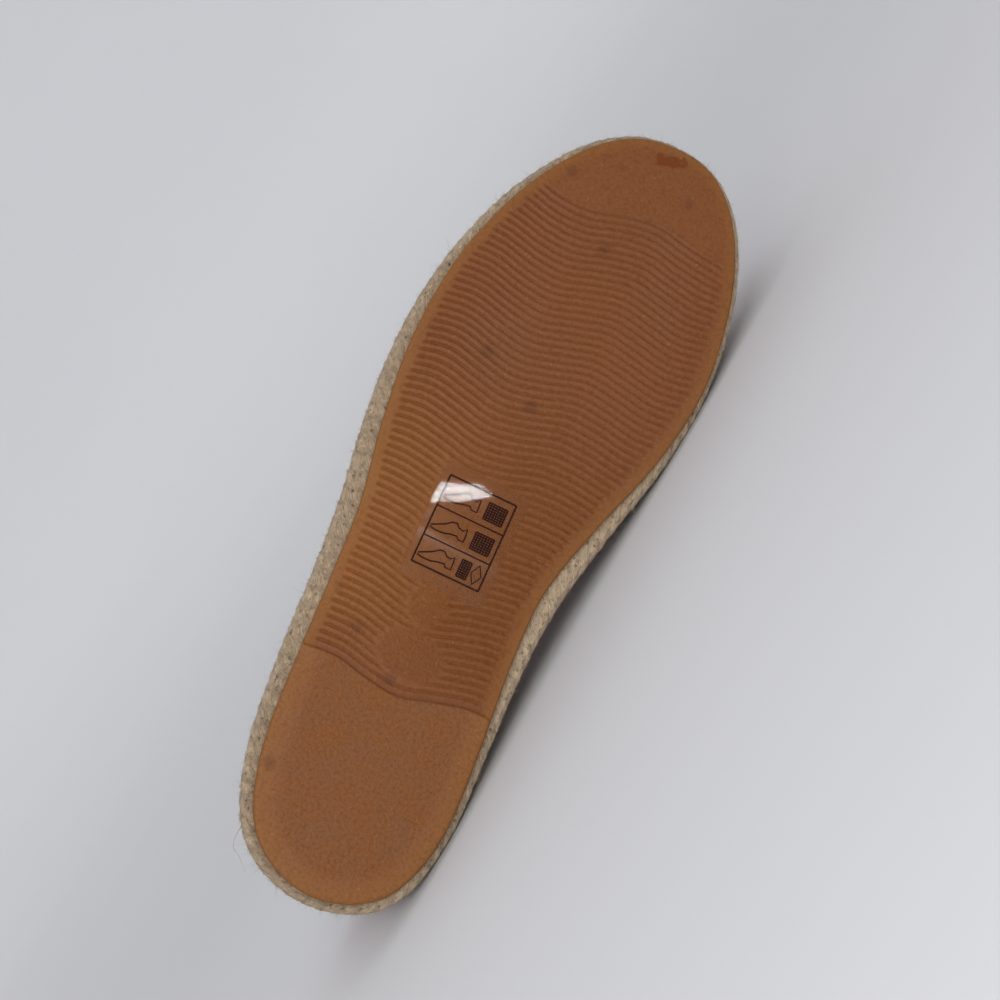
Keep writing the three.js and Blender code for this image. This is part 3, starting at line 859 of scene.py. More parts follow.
class JuteSettings(bpy.types.PropertyGroup):
    """Braided midsole"""
    strand_pitch: FloatProperty(name="Strand pitch", description="From one strand to the next",
                                default=0.0052, unit="LENGTH")
    relief: FloatProperty(name="Relief", description="Height of the strands",
                          default=0.0003, unit="LENGTH")
    stitch_pitch: FloatProperty(name="Stitch pitch", description="From one sole stitch to the next",
                                default=0.0088, unit="LENGTH")
    hairs: IntProperty(name="Hairs", description="Loose fibres on the wall", default=13000, min=0)
    hair_length: FloatProperty(name="Hair length", description="Mean length of a loose fibre",
                               default=0.0011, unit="LENGTH")
    straw: FloatVectorProperty(name="Straw", description="Light jute", default=srgb(204, 179, 146),
                               subtype="COLOR")
    grey_straw: FloatVectorProperty(name="Grey straw", description="Grey jute",
                                    default=srgb(192, 168, 138), subtype="COLOR")
    brown: FloatVectorProperty(name="Brown", description="Dark fibres", default=srgb(160, 134, 106),
                               subtype="COLOR")


class CanvasSettings(bpy.types.PropertyGroup):
    """Upper, lining and footbed"""
    thread: FloatProperty(name="Thread", description="Width of a canvas thread", default=0.00066,
                          unit="LENGTH")
    rose: FloatVectorProperty(name="Rose", description="Canvas", default=srgb(184, 140, 134),
                              subtype="COLOR")
    deep_rose: FloatVectorProperty(name="Deep rose", description="Shaded canvas",
                                   default=srgb(168, 124, 120), subtype="COLOR")
    ecru: FloatVectorProperty(name="Ecru", description="Lining and footbed",
                              default=srgb(204, 190, 164), subtype="COLOR")


class StageSettings(bpy.types.PropertyGroup):
    """Floor, light and camera"""
    paper: FloatVectorProperty(name="Paper", description="Floor", default=srgb(213, 214, 215),
                               subtype="COLOR")
    key_power: FloatProperty(name="Key light", description="Power of the main light", default=0.95,
                             unit="POWER")
    fill_power: FloatProperty(name="Fill light", description="Power of the fill light", default=0.8,
                              unit="POWER")
    front_power: FloatProperty(name="Front light", description="Power of the light by the camera",
                               default=4.35, unit="POWER")
    sky: FloatProperty(name="Sky", description="Strength of the surrounding light", default=0.94)


class ESPADRILLE_OT_outsole(bpy.types.Operator):
    """Moulded rubber outsole with its waved grooves and its heel patch"""
    bl_idname = "espadrille.outsole"
    bl_label = "Outsole"

    def execute(self, context):
        settings = context.scene.espadrille_sole
        marks, pitch = groove_marks(settings)
        x, y = sole_grid(marks)
        s = marks[:, None] + np.zeros_like(x)
        distance = distance_in(x, y)
        depth = groove_depth(x, y, s, pitch, distance)
        patch = 1 - smooth_step(BREAST - 0.35, BREAST + 0.35, s)
        edge = RUBBER_EDGE + 0.4 * patch
        near = np.minimum(distance, edge)
        rounding = edge - np.sqrt(np.maximum(edge ** 2 - (edge - near) ** 2, 0))
        place = np.stack([x, y, np.zeros_like(x)], axis=-1)
        chip_edge = soft_noise(place, 2.2, 5.0) * 0.55 + soft_noise(place, 0.8, 9.0) * 0.2
        ahead, aside = x - CHIP["x"], y - CHIP["y"]
        cos, sin = CHIP["turn"]
        chip_away = np.hypot((cos * ahead - sin * aside) / CHIP["length"],
                             (sin * ahead + cos * aside) / CHIP["width"])
        chip = 1 - smooth_step(0.82, 1.0, chip_away + chip_edge)
        z = underside(x) - HEEL_STEP * patch + rounding
        z += settings.groove_depth / MM * depth
        z += CHIP["depth"] * chip - 0.1 * rounds_rim(x, y) * (1 - patch)
        z += 0.05 * soft_noise(place, 7.0)
        bottom = np.stack([x, y, np.maximum(z, 0.0)], axis=-1)
        rows, columns = x.shape
        sides = bottom[:, [0, -1]].copy()
        sides[..., 2] = underside(sides[..., 0]) + RUBBER
        wall = bottom[:, [0, -1]] * 0.5 + sides * 0.5
        points = np.concatenate([part.reshape(-1, 3) for part in (bottom, wall, sides)])
        faces = [grid_faces(rows, columns)]
        wall_start, top_start = bottom.shape[0] * columns, bottom.shape[0] * columns + 2 * rows
        row = np.arange(rows - 1)
        for side, column in ((0, 0), (1, columns - 1)):
            low = row * columns + column
            mid = wall_start + 2 * row + side
            high = top_start + 2 * row + side
            faces.append(np.stack([low, low + columns, mid + 2, mid], axis=-1))
            faces.append(np.stack([mid, mid + 2, high + 2, high], axis=-1))
        faces.append(np.stack([top_start + 2 * row, top_start + 2 * row + 1,
                               top_start + 2 * row + 3, top_start + 2 * row + 2], axis=-1))

        def with_wall(values, at_wall):
            return np.concatenate([values.ravel(), np.full(4 * rows, at_wall)])

        rim = 1 - smooth_step(0.6, 4.6 + 4.0 * patch, distance)
        waist = smooth_step(58, 84, x) * (1 - smooth_step(110, 165, x))
        # painted shadow of the heel patch's step, for the rubber's colour
        step = bump_at(s - BREAST - 0.5, 0.75) * smooth_step(1.5, 4.0, distance)
        attributes = {
            "patch": with_wall(patch, 0.0),
            # the groove mask also darkens the rubber's colour: painted shade in the valleys
            "groove": with_wall(np.clip(depth, 0, 1), 0.0),
            "rim": with_wall(rim, 1.0),
            "chip": with_wall(chip, 0.0),
            "waist": with_wall(waist, 0.0),
            "step": with_wall(step, 0.0),
            "rounds": with_wall(inside_rounds(x, y), 0.0),
        }
        piece = add_piece("rubber_outsole", points, np.concatenate(faces),
                          [rubber_material(settings)], attributes)
        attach(piece, "root")
        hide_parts("outsole")
        return {"FINISHED"}


# Shapes of the jute

ROUND_POINTS = 1400
UNDER_REACH = 2.6
TOP_REACH = 5.2
WALL_ROWS = 26


def jute_lines():
    """Rows of the jute's skin: height as a share, inset, and place across the braid in millimetres."""
    inset_at = line_through(JUTE_WALL[:, 0], JUTE_WALL[:, 1])
    under = np.linspace(1, 0, 11)[:-1]
    wall = (1 - np.cos(np.linspace(0, math.pi, WALL_ROWS))) / 2
    over = np.linspace(0, 1, 7)[1:]
    rows = [(0.0, inset_at(0.0), share) for share in under]
    rows += [(rise, float(inset_at(rise)), 0.0) for rise in wall]
    rows += [(1.0, float(inset_at(1.0)) + share * TOP_REACH, 0.0) for share in over]
    return rows


def jute_grid(turn):
    """Points of the jute's skin without its braid, and the place across the braid for each."""
    outward = proud(turn)
    points, across = [], []
    for rise, inset, share in jute_lines():
        reach = share * (outward - inset + UNDER_REACH)
        flat, _ = outline_point(turn, outward - inset - reach)
        height = underside(flat[..., 0]) + JUTE_BOTTOM + rise * JUTE
        points.append(np.concatenate([flat, height[..., None]], axis=-1))
        over = max(0.0, inset - JUTE_WALL[-1, 1]) if rise == 1.0 else 0.0
        across.append(rise * JUTE - reach + over)
    return np.stack(points), np.stack(across)


def length_round(turn):
    """Length along the jute's wall for each angle, and all the way round."""
    line, _ = outline_point(turn, proud(turn))
    steps = np.linalg.norm(np.roll(line, -1, axis=0) - line, axis=1)
    return np.concatenate([[0], np.cumsum(steps)[:-1]]), steps.sum()


def even_turns(count):
    """Angles round the sole, even in length along the jute's wall."""
    fine = np.linspace(0, 2 * math.pi, 6000, endpoint=False)
    place, whole = length_round(fine)
    wanted = np.arange(count) * whole / count
    return np.interp(wanted, np.append(place, whole), np.append(fine, 2 * math.pi))


def sole_stitch_turns(settings):
    """Angles of the stitches that join upper and jute, a little uneven."""
    turn = even_turns(ROUND_POINTS)
    place, whole = length_round(turn)
    count = round(whole / (settings.stitch_pitch / MM))
    rng = np.random.default_rng(SEED + 1)
    wanted = (np.arange(count) + 0.5 + rng.uniform(-0.13, 0.13, count)) * whole / count
    return np.interp(wanted, place, turn), wanted


def needle_marks(place, across, whole):
    """Small pits of the needle, uneven in place and size, near the lower edge of the jute; the jute's
    material darkens them as painted shade.
    """
    rng = np.random.default_rng(SEED + 4)
    marks = np.zeros_like(across)
    spots = np.cumsum(rng.uniform(2.5, 12.5, 130))
    for spot in spots[spots < whole - 2]:
        centre, size = rng.uniform(-2.4, 2.6), rng.uniform(0.22, 0.5)
        near = bump_at(place[None, :] - spot, size) * bump_at(across - centre, size * 0.8)
        marks = np.maximum(marks, near * rng.uniform(0.4, 0.95))
    return marks


def jute_surface(settings, turn):
    """The jute's skin with its braid, and what its material needs to know."""
    place, whole = length_round(turn)
    base, across = jute_grid(turn)
    rows, count = across.shape
    faces = grid_faces(rows, count, closed=True)
    normals = vertex_normals(base.reshape(-1, 3), faces).reshape(base.shape)
    outward = base - base.mean(axis=(0, 1))
    if (normals[rows // 2] * outward[rows // 2]).sum() < 0:
        normals = -normals
    pitch = whole / round(whole / (settings.strand_pitch / MM))
    middle = JUTE / 2 + 0.5 * np.sin(2 * math.pi * place / pitch)
    side = across - middle
    lean = 0.95
    phase = (place + lean * np.abs(side)) / pitch + np.where(side > 0, 0.5, 0.0)
    wobble = soft_noise(base, 9.0, 3.0) * 0.16
    share = (phase + wobble) % 1.0
    round_strand = np.sqrt(np.maximum(0, 1 - (2 * share - 1) ** 2))
    seam = bump_at(side, 0.55)
    edge = smooth_step(-9.5, -1.0, across)
    crease = np.clip(1 - round_strand * 1.25, 0, 1) * (0.35 + 0.65 * edge) + 0.5 * seam
    relief = (round_strand - 0.8) * (0.4 + 0.6 * edge) - 0.5 * seam
    lumps = soft_noise(base, 2.2, 7.0) * 0.5 + soft_noise(base, 0.8, 1.0) * 0.55
    _, wanted = sole_stitch_turns(settings)
    gap = np.abs(place[:, None] - wanted[None, :])
    gap = np.minimum(gap, whole - gap)
    beside = gap.min(axis=1)
    hole = bump_at(beside, 0.55) * bump_at(across - (JUTE / 2 - 0.4), 1.25)
    hole = np.maximum(hole, needle_marks(place, across, whole))
    amount = settings.relief / MM
    top = 1 - smooth_step(JUTE - 0.5, JUTE + 1.0, across)
    offset = (amount * (relief + lumps) - 1.0 * hole) * (0.25 + 0.75 * top)
    points = base + normals * offset[..., None]
    attributes = {
        "strand": np.stack([place + lean * np.abs(side), across, 0 * across], axis=-1),
        "crease": np.clip(crease, 0, 1),
        "hole": np.clip(hole * 1.3, 0, 1),
    }
    return points, normals, across, attributes


class ESPADRILLE_OT_midsole(bpy.types.Operator):
    """Jute braid wound flat under the foot"""
    bl_idname = "espadrille.midsole"
    bl_label = "Jute midsole"

    def execute(self, context):
        settings = context.scene.espadrille_jute
        turn = even_turns(ROUND_POINTS)
        points, _, across, attributes = jute_surface(settings, turn)
        rows, count = across.shape
        faces = grid_faces(rows, count, closed=True).tolist()
        for row in (0, rows - 1):
            faces += closing_faces(count, row * count)
        flat = {name: values.reshape(-1, 3) if values.ndim == 3 else values.ravel()
                for name, values in attributes.items()}
        piece = add_piece("jute_midsole", points.reshape(-1, 3), faces, [jute_material(settings)],
                          flat)
        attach(piece, "root")
        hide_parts("midsole")
        return {"FINISHED"}


def hair_mesh(roots, directions, lengths, bends, width):
    """Three-sided hairs that taper to a point: points, faces, and a strand place for each point."""
    count = len(roots)
    side = np.cross(directions, np.array([0.31, 0.27, 0.91]))
    side /= np.linalg.norm(side, axis=1, keepdims=True)
    other = np.cross(directions, side)
    rings = []
    for share, thick in ((-0.25, 1.0), (0.45, 0.8), (1.0, 0.35)):
        centre = roots + directions * (lengths * share)[:, None] + bends * max(0, share) ** 2
        for corner in range(3):
            angle = 2 * math.pi * corner / 3
            spread = (side * math.cos(angle) + other * math.sin(angle)) * width * thick
            rings.append(centre + spread)
    points = np.stack(rings, axis=1)
    pattern = []
    for level in (0, 3):
        for corner in range(3):
            after = (corner + 1) % 3
            pattern.append((level + corner, level + after, level + 3 + after, level + 3 + corner))
    quads = np.array(pattern)[None] + 9 * np.arange(count)[:, None, None]
    caps = np.array([(0, 2, 1), (6, 7, 8)])[None] + 9 * np.arange(count)[:, None, None]
    faces = quads.reshape(-1, 4).tolist() + caps.reshape(-1, 3).tolist()
    strand = np.zeros((count, 9, 3))
    strand[..., 0] = np.arange(count)[:, None] * 1.7
    strand[..., 1] = np.arange(9) * 0.3
    return points.reshape(-1, 3), faces, strand.reshape(-1, 3)


class ESPADRILLE_OT_jute_fuzz(bpy.types.Operator):
    """Loose fibres on the jute, and one long stray fibre at the heel"""
    bl_idname = "espadrille.jute_fuzz"
    bl_label = "Jute fuzz"

    def execute(self, context):
        settings = context.scene.espadrille_jute
        rng = np.random.default_rng(SEED + 2)
        turn = even_turns(ROUND_POINTS)
        points, normals, across, _ = jute_surface(settings, turn)
        usable = np.flatnonzero((across.ravel() > -7) & (across.ravel() < JUTE + 1))
        chosen = rng.choice(usable, settings.hairs)
        roots = points.reshape(-1, 3)[chosen] + rng.uniform(-0.25, 0.25, (settings.hairs, 3))
        out = normals.reshape(-1, 3)[chosen]
        lean = rng.normal(0, 1, (settings.hairs, 3))
        lean -= out * (lean * out).sum(axis=1, keepdims=True)
        lift = rng.uniform(0.08, 0.75, (settings.hairs, 1)) ** 1.3
        directions = lean / np.linalg.norm(lean, axis=1, keepdims=True) * (1.05 - lift) + out * lift
        directions /= np.linalg.norm(directions, axis=1, keepdims=True)
        lengths = settings.hair_length / MM * rng.gamma(3.0, 0.33, settings.hairs)
        lengths = np.clip(lengths, 0.5, 4.5)
        bends = rng.normal(0, 0.28, (settings.hairs, 3)) * lengths[:, None]
        tips = lay_down(roots + directions * lengths[:, None] + bends)
        floor_gap = 0.0003
        kept = tips[:, 2] > floor_gap
        fuzz, faces, strand = hair_mesh(roots[kept], directions[kept], lengths[kept], bends[kept], 0.035)
        stray, stray_faces = stray_fibre()
        faces += [[corner + len(fuzz) for corner in face] for face in stray_faces]
        strand = np.concatenate([strand, np.zeros((len(stray), 3))])
        fuzz = np.concatenate([fuzz, stray])
        zero = np.zeros(len(fuzz))
        material = jute_material(settings, "jute_fibre")
        piece = add_piece("jute_fuzz", fuzz, faces, [material],
                          {"strand": strand, "crease": zero, "hole": zero}, closed=False)
        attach(piece, "root")
        return {"FINISHED"}


def tube(path, radius, sides=6):
    """A closed tube along a path: points and faces. radius is one value or one for each point."""
    path = np.asarray(path, float)
    along = np.gradient(path, axis=0)
    along /= np.linalg.norm(along, axis=1, keepdims=True)
    guide = np.array([0.13, 0.21, 0.97])
    side = np.cross(along, guide)
    side /= np.linalg.norm(side, axis=1, keepdims=True)
    other = np.cross(along, side)
    angles = 2 * math.pi * np.arange(sides) / sides
    radius = np.broadcast_to(np.asarray(radius, float), (len(path),))[:, None, None]
    ring = side[:, None] * np.cos(angles)[None, :, None] + other[:, None] * np.sin(angles)[None, :, None]
    points = (path[:, None] + ring * radius).reshape(-1, 3)
    faces = grid_faces(len(path), sides, closed=True).tolist()
    last = (len(path) - 1) * sides
    faces.append(list(range(sides))[::-1])
    faces.append([last + corner for corner in range(sides)])
    return points, faces


def curve_through(points, count):
    """A smooth open curve through a few points."""
    points = np.asarray(points, float)
    places = np.concatenate([[0], np.cumsum(np.linalg.norm(np.diff(points, axis=0), axis=1))])
    wanted = np.linspace(0, places[-1], count)
    return np.stack([line_through(places, points[:, axis])(wanted) for axis in range(3)], axis=1)


def stray_fibre():
    """One long curled fibre that hangs out of the braid at the heel."""
    route = [(10.5, -22.0, 8.6), (8.0, -22.6, 7.4), (5.0, -22.6, 6.4), (2.6, -21.6, 5.6),
             (1.7, -19.7, 5.2), (0.5, -18.4, 4.8), (-0.5, -17.4, 4.4), (-1.6, -16.0, 4.0)]
    return tube(curve_through(route, 28), np.linspace(0.09, 0.05, 28), 5)


class ESPADRILLE_OT_insole(bpy.types.Operator):
    """Cloth footbed, a little dished under heel and ball"""
    bl_idname = "espadrille.insole"
    bl_label = "Footbed"

    def execute(self, context):
        settings = context.scene.espadrille_canvas
        turn = even_turns(360)
        inset = FOOT_INSET + CANVAS + GAP
        outer, _ = outline_point(turn, proud(turn) - inset)
        centre = np.array([118.0, 1.0])
        shares = (0.0, 0.16, 0.32, 0.48, 0.62, 0.74, 0.83, 0.9, 0.945, 0.975, 0.992, 1.0)
        spine = np.stack([np.clip(outer[:, 0], 32, 215), np.full(len(outer), centre[1])], axis=1)
        spine[:, 1] += 5 * smooth_step(120, 215, spine[:, 0])
        count = len(turn)
        spine = (spine + spine[-np.arange(count) % count]) / 2
        rings, heights = [], []
        for share in shares:
            flat = spine + (outer - spine) * share
            dish = 0.45 * bump_at((flat[:, 0] - 32) / 20, 1.0) * bump_at(flat[:, 1] / 16, 1.0)
            dish += 0.35 * bump_at((flat[:, 0] - 172) / 26, 1.0) * bump_at((flat[:, 1] - 3) / 24, 1.0)
            round_edge = 0.7 * (1 - math.sqrt(max(0, 1 - max(0.0, (share - 0.9) / 0.1) ** 2)))
            rings.append(flat)
            heights.append(INSOLE - dish - round_edge + 0.0 * flat[:, 0])
        rings.append(outer)
        heights.append(np.zeros(len(outer)))
        flat, rise = np.stack(rings), np.stack(heights)
        z = underside(flat[..., 0]) + FOOTBED + rise
        points = np.concatenate([flat, z[..., None]], axis=-1)
        faces = grid_faces(len(points), count, closed=True).tolist()
        faces += closing_faces(count, (len(points) - 1) * count)
        shoe = points.reshape(-1, 3)
        worn = 0.8 * bump_at((shoe[:, 0] - 32) / 22, 1.0) + bump_at((shoe[:, 0] - 172) / 28, 1.0)
        material = cloth_material("footbed_cloth", tuple(settings.ecru), srgb(186, 168, 138), 1.1)
        piece = add_piece("footbed", shoe, faces, [material],
                          {"cloth": shoe, "worn": np.clip(worn, 0, 1) * 0.5})
        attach(piece, "root")
        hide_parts("insole")
        return {"FINISHED"}


# Shapes of the upper

COLLAR_COLUMNS = 96
VAMP_COLUMNS = 84
UPPER_ROWS = 56
HEM = 7.0
RIM_ROWS = 3
PUCKER = 8.8

# Soft folds: centre, lean, depth, width
VAMP_CREASES = ((163, 0.10, 0.75, 3.4), (171, -0.05, 1.15, 3.0), (180, 0.07, 0.7, 2.6),
                (188, -0.12, 0.45, 3.2))
QUARTER_CREASES = ((47, 0.35, 0.55, 4.0), (72, -0.25, 0.5, 5.0), (112, 0.4, 0.55, 4.0),
                   (124, 0.2, 0.4, 3.0))

# Machine stitch: from one to the next, length, thread radius, lift
SEAM_STITCH = (3.0, 2.3, 0.2, 0.14)
SEAM_START = 3.2
BACK_SEAM_Y = 1.7


def upper_turns():
    """Angles of the upper's columns on the lateral side, close together at the side seam."""
    foot_of_throat = length_at(THROAT_TURN)
    share = (1 - np.cos(math.pi * np.arange(COLLAR_COLUMNS) / COLLAR_COLUMNS)) / 2
    seam = SEAM_X + np.array([-0.5, -0.1, 0.15, 0.3, 0.45, 0.6, 0.75, 0.9, 1.3])
    places = np.concatenate([foot_of_throat * share, seam])
    vamp = np.linspace(THROAT_TURN, math.pi, VAMP_COLUMNS + 1)
    return np.unique(np.concatenate([turn_at(places), vamp]).round(9))


def rib_controls(turn):
    """The four points that shape the rib of the last at each angle."""
    medial = turn > math.pi
    half_turn = np.where(medial, 2 * math.pi - turn, turn)
    size = {name: line_through(np.radians(RIBS[:, 0]), RIBS[:, i])(half_turn)
            for i, name in enumerate(RIB_NAMES) if i}
    flat, normal = outline_point(turn, proud(turn) - FOOT_INSET)
    foot = np.concatenate([flat, (underside(flat[:, 0]) + FOOTBED)[:, None]], axis=1)
    instep_y = line_through(INSTEP[:, 0], INSTEP[:, 1])
    instep_z = line_through(INSTEP[:, 0], INSTEP[:, 2])
    x = size["top"]
    end = np.stack([x, instep_y(x), instep_z(x)], axis=1)
    out = np.where(medial, size["out_medial"], size["out_lateral"])
    back = np.where(medial, size["back_medial"], size["back_lateral"])
    rise = np.concatenate([normal * out[:, None], size["up"][:, None]], axis=1)
    home = foot[:, :2] - end[:, :2]
    home *= (back / np.linalg.norm(home, axis=1))[:, None]
    slope = instep_z(x + 0.5) - instep_z(x - 0.5)
    home = np.concatenate([home, (slope * home[:, 0] - size["drop"])[:, None]], axis=1)
    return np.stack([foot, foot + rise, end + home, end])


def rib_point(controls, t):
    """Points of the ribs at the shares t."""
    t = np.asarray(t, float)[..., None]
    a, b, c, d = controls
    return a * (1 - t) ** 3 + 3 * b * t * (1 - t) ** 2 + 3 * c * t * t * (1 - t) + d * t ** 3


def covered_share(turn, controls):
    """How much of each rib the canvas covers: up to the collar behind the throat, all before it."""
    lateral = line_through(COLLAR[:, 0], COLLAR[:, 1])
    medial = line_through(COLLAR[:, 0], COLLAR[:, 2])
    low, high = np.zeros(len(turn)), np.ones(len(turn))
    for _ in range(34):
        middle = (low + high) / 2
        point = rib_point(controls, middle)
        edge = np.where(turn > math.pi, medial(point[:, 0]), lateral(point[:, 0]))
        below = point[:, 2] < edge
        low, high = np.where(below, middle, low), np.where(below, high, middle)
    half_turn = np.minimum(turn, 2 * math.pi - turn)
    return np.where(half_turn > THROAT_TURN - 1e-6, 1.0, low)


class UpperForm:
    """The canvas upper: its skin, normals and the distances that seams and folds go by."""

    def __init__(self):
        half = upper_turns()
        self.turn = np.concatenate([half, (2 * math.pi - half[1:-1])[::-1]])
        self.count = len(self.turn)
        self.half_turn = np.minimum(self.turn, 2 * math.pi - self.turn)
        controls = rib_controls(self.turn)
        cut = covered_share(self.turn, controls)
        rows = np.arange(UPPER_ROWS + 1)[:, None] / UPPER_ROWS
        self.skin = rib_point(controls, cut * rows)
        self.open = self.half_turn < THROAT_TURN + 1e-6
        index = np.arange((UPPER_ROWS + 1) * self.count).reshape(UPPER_ROWS + 1, self.count)
        shared = index.copy()
        opposite = (self.count - np.arange(self.count)) % self.count
        front = self.half_turn > THROAT_TURN - 1e-6
        medial = self.turn > math.pi
        joined = front & medial
        shared[-1, joined] = shared[-1, opposite[joined]]
        faces = shared.ravel()[grid_faces(UPPER_ROWS + 1, self.count, closed=True)]
        normals = vertex_normals(self.skin.reshape(-1, 3), faces)[shared]
        normals[0, :, 2] = 0
        normals /= np.linalg.norm(normals, axis=-1, keepdims=True)
        middle = self.skin.mean(axis=(0, 1))
        if (normals[20] * (self.skin[20] - middle)).sum() < 0:
            normals = -normals
        self.normals = normals
        steps = np.linalg.norm(np.diff(self.skin, axis=0), axis=-1)
        self.rise = np.concatenate([np.zeros((1, self.count)), np.cumsum(steps, axis=0)])
        edge = np.flatnonzero(self.open)
        order = np.concatenate([edge[self.turn[edge] > math.pi], edge[self.turn[edge] <= math.pi]])
        collar = self.skin[-1, order]
        fine = np.concatenate([collar[:-1] + (collar[1:] - collar[:-1]) * share
                               for share in np.arange(0, 1, 0.125)])
        self.to_collar = distance_from(np.concatenate([fine, collar[-1:]]), self.skin)
        self.foot_x = length_at(self.turn)[None, :] + 0 * self.rise
        self.outside = self.skin + self.normals * self.relief()[..., None]
        rows_down = CANVAS + 0.12 * bump_at(self.to_collar - HEM, 0.5)
        self.inside = self.skin - self.normals * rows_down[..., None]

    def relief(self):
        """How far the cloth stands off the plain form: lap, hem, seams, puckers and creases."""
        x, y, z = np.moveaxis(self.skin, -1, 0)
        lap = LAP * smooth_step(SEAM_X, SEAM_X + SEAM_WIDTH, self.foot_x)
        hem = 0.32 * (1 - smooth_step(HEM - 0.2, HEM + 0.35, self.to_collar))
        hem -= 0.14 * bump_at(self.to_collar - (HEM - 1.3), 0.4)
        behind = self.foot_x - SEAM_X - SEAM_WIDTH
        sewn = 0.16 * (bump_at(behind - 1.7, 0.4) + bump_at(behind - 4.6, 0.4))
        from_back = np.where(x < 30, np.abs(y - BACK_SEAM_Y), 99)
        back_seam = 0.22 * (1 - smooth_step(3.6, 4.2, from_back)) - 0.4 * bump_at(from_back, 0.45)
        place, whole = length_round(self.turn)
        pucker = (0.28 * np.exp(-self.rise / 4.5)
                  * (0.5 + 0.5 * np.cos(2 * math.pi * place[None, :] / PUCKER)))
        return lap + hem - sewn + back_seam - pucker - self.creases(x, y, z)

    def creases(self, x, y, z):
        """Soft folds across the vamp where the toes bend, and slack below the collar."""
        total = np.zeros_like(x)
        for centre, lean, depth, width in VAMP_CREASES:
            line = centre + lean * (y - 4) + 0.006 * (y - 4) ** 2
            total += depth * bump_at(x - line, width) * smooth_step(34, 46, z)
        for centre, lean, depth, width in QUARTER_CREASES:
            line = centre + lean * (z - 40)
            high = smooth_step(26, 34, z) * smooth_step(HEM, HEM + 6, self.to_collar)
            total += depth * bump_at(x - line, width) * high
        slack = soft_noise(self.skin, 26.0, 2.0) * 0.35 + soft_noise(self.skin, 9.0, 4.0) * 0.12
        return total * (self.to_collar > 1) + slack * smooth_step(26, 36, z)


class ESPADRILLE_OT_upper(bpy.types.Operator):
    """Canvas upper: quarter, lapped vamp, folded hem and lining"""
    bl_idname = "espadrille.upper"
    bl_label = "Canvas upper"

    def execute(self, context):
        settings = context.scene.espadrille_canvas
        form = UpperForm()
        rows, count = form.rise.shape
        top_out, top_in = form.outside[-1], form.inside[-1]
        tangent = form.skin[-1] - form.skin[-2]
        tangent /= np.linalg.norm(tangent, axis=1, keepdims=True)
        rim = []
        for step in range(1, RIM_ROWS + 1):
            angle = math.pi * step / (RIM_ROWS + 1)
            centre = (top_out + top_in) / 2
            half = (top_out - top_in) / 2
            rim.append(centre + half * math.cos(angle) + tangent * 0.55 * math.sin(angle))
        points = np.concatenate([form.outside.reshape(-1, 3), form.inside.reshape(-1, 3),
                                 np.stack(rim).reshape(-1, 3)])
        shift = rows * count
        outer = grid_faces(rows, count, closed=True)
        inner = grid_faces(rows, count, closed=True, start=shift)[:, ::-1]
        i = np.arange(count)
        after = (i + 1) % count
        foot = np.stack([i, i + shift, after + shift, after], axis=-1)
        gap = form.open[i] & form.open[after]
        rails = [(rows - 1) * count + i]
        rails += [2 * shift + step * count + i for step in range(RIM_ROWS)]
        rails += [shift + (rows - 1) * count + i]
        hems = [np.stack([a, a[after], b[after], b], axis=-1)[gap]
                for a, b in zip(rails[:-1], rails[1:])]
        faces = np.concatenate([outer, inner, foot, *hems])
        slots = np.concatenate([np.zeros(len(outer)), np.ones(len(inner)), np.zeros(len(foot)),
                                np.zeros(sum(len(hem) for hem in hems))])
        place, _ = length_round(form.turn)
        cloth = np.stack([place[None, :] + 0 * form.rise, form.rise, 0 * form.rise], axis=-1)
        cloth = np.concatenate([cloth.reshape(-1, 3), cloth.reshape(-1, 3),
                                np.tile(cloth[-1], (RIM_ROWS, 1))])
        worn = bump_at(form.to_collar, 1.2) + 0.6 * bump_at(form.foot_x - SEAM_X - SEAM_WIDTH, 0.5)
        worn = np.concatenate([worn.ravel(), worn.ravel(), np.ones(RIM_ROWS * count)])
        canvas = cloth_material("rose_canvas", tuple(settings.rose), tuple(settings.deep_rose),
                                settings.thread / MM)
        lining = cloth_material("ecru_lining", tuple(settings.ecru), srgb(190, 174, 148), 0.6, 0.4)
        piece = add_piece("canvas_upper", points, faces, [canvas, lining],
                          {"cloth": cloth, "worn": np.clip(worn, 0, 1)}, slots)
        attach(piece, "root")
        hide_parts("upper")
        return {"FINISHED"}


def joined(parts):
    """Many small meshes as one: points, faces, and how far along and round each thread a point is."""
    points, faces, cloth = [], [], []
    start = 0
    for part_points, part_faces, sides in parts:
        points.append(part_points)
        faces += [[corner + start for corner in face] for face in part_faces]
        order = np.arange(len(part_points))
        cloth.append(np.stack([order // sides * 0.35, order % sides / sides, 0 * order], axis=1))
        start += len(part_points)
    return np.concatenate(points), faces, np.concatenate(cloth)


def stitches_along(path, normals, pitch, length, radius, lift):
    """A row of machine stitches: each rises out of the cloth, lies on it and dives back in."""
    steps = np.linalg.norm(np.diff(path, axis=0), axis=1)
    place = np.concatenate([[0], np.cumsum(steps)])
    parts = []
    for start in np.arange(pitch / 2, place[-1] - pitch / 2, pitch):
        shares = np.linspace(0, 1, 7)
        wanted = start + shares * length
        line = np.stack([np.interp(wanted, place, path[:, axis]) for axis in range(3)], axis=1)
        out = np.stack([np.interp(wanted, place, normals[:, axis]) for axis in range(3)], axis=1)
        out /= np.linalg.norm(out, axis=1, keepdims=True)
        height = lift * (1 - (2 * shares - 1) ** 6) - radius * 1.4 * (np.abs(2 * shares - 1) ** 6)
        points, faces = tube(line + out * height[:, None], radius, 6)
        parts.append((points, faces, 6))
    return parts


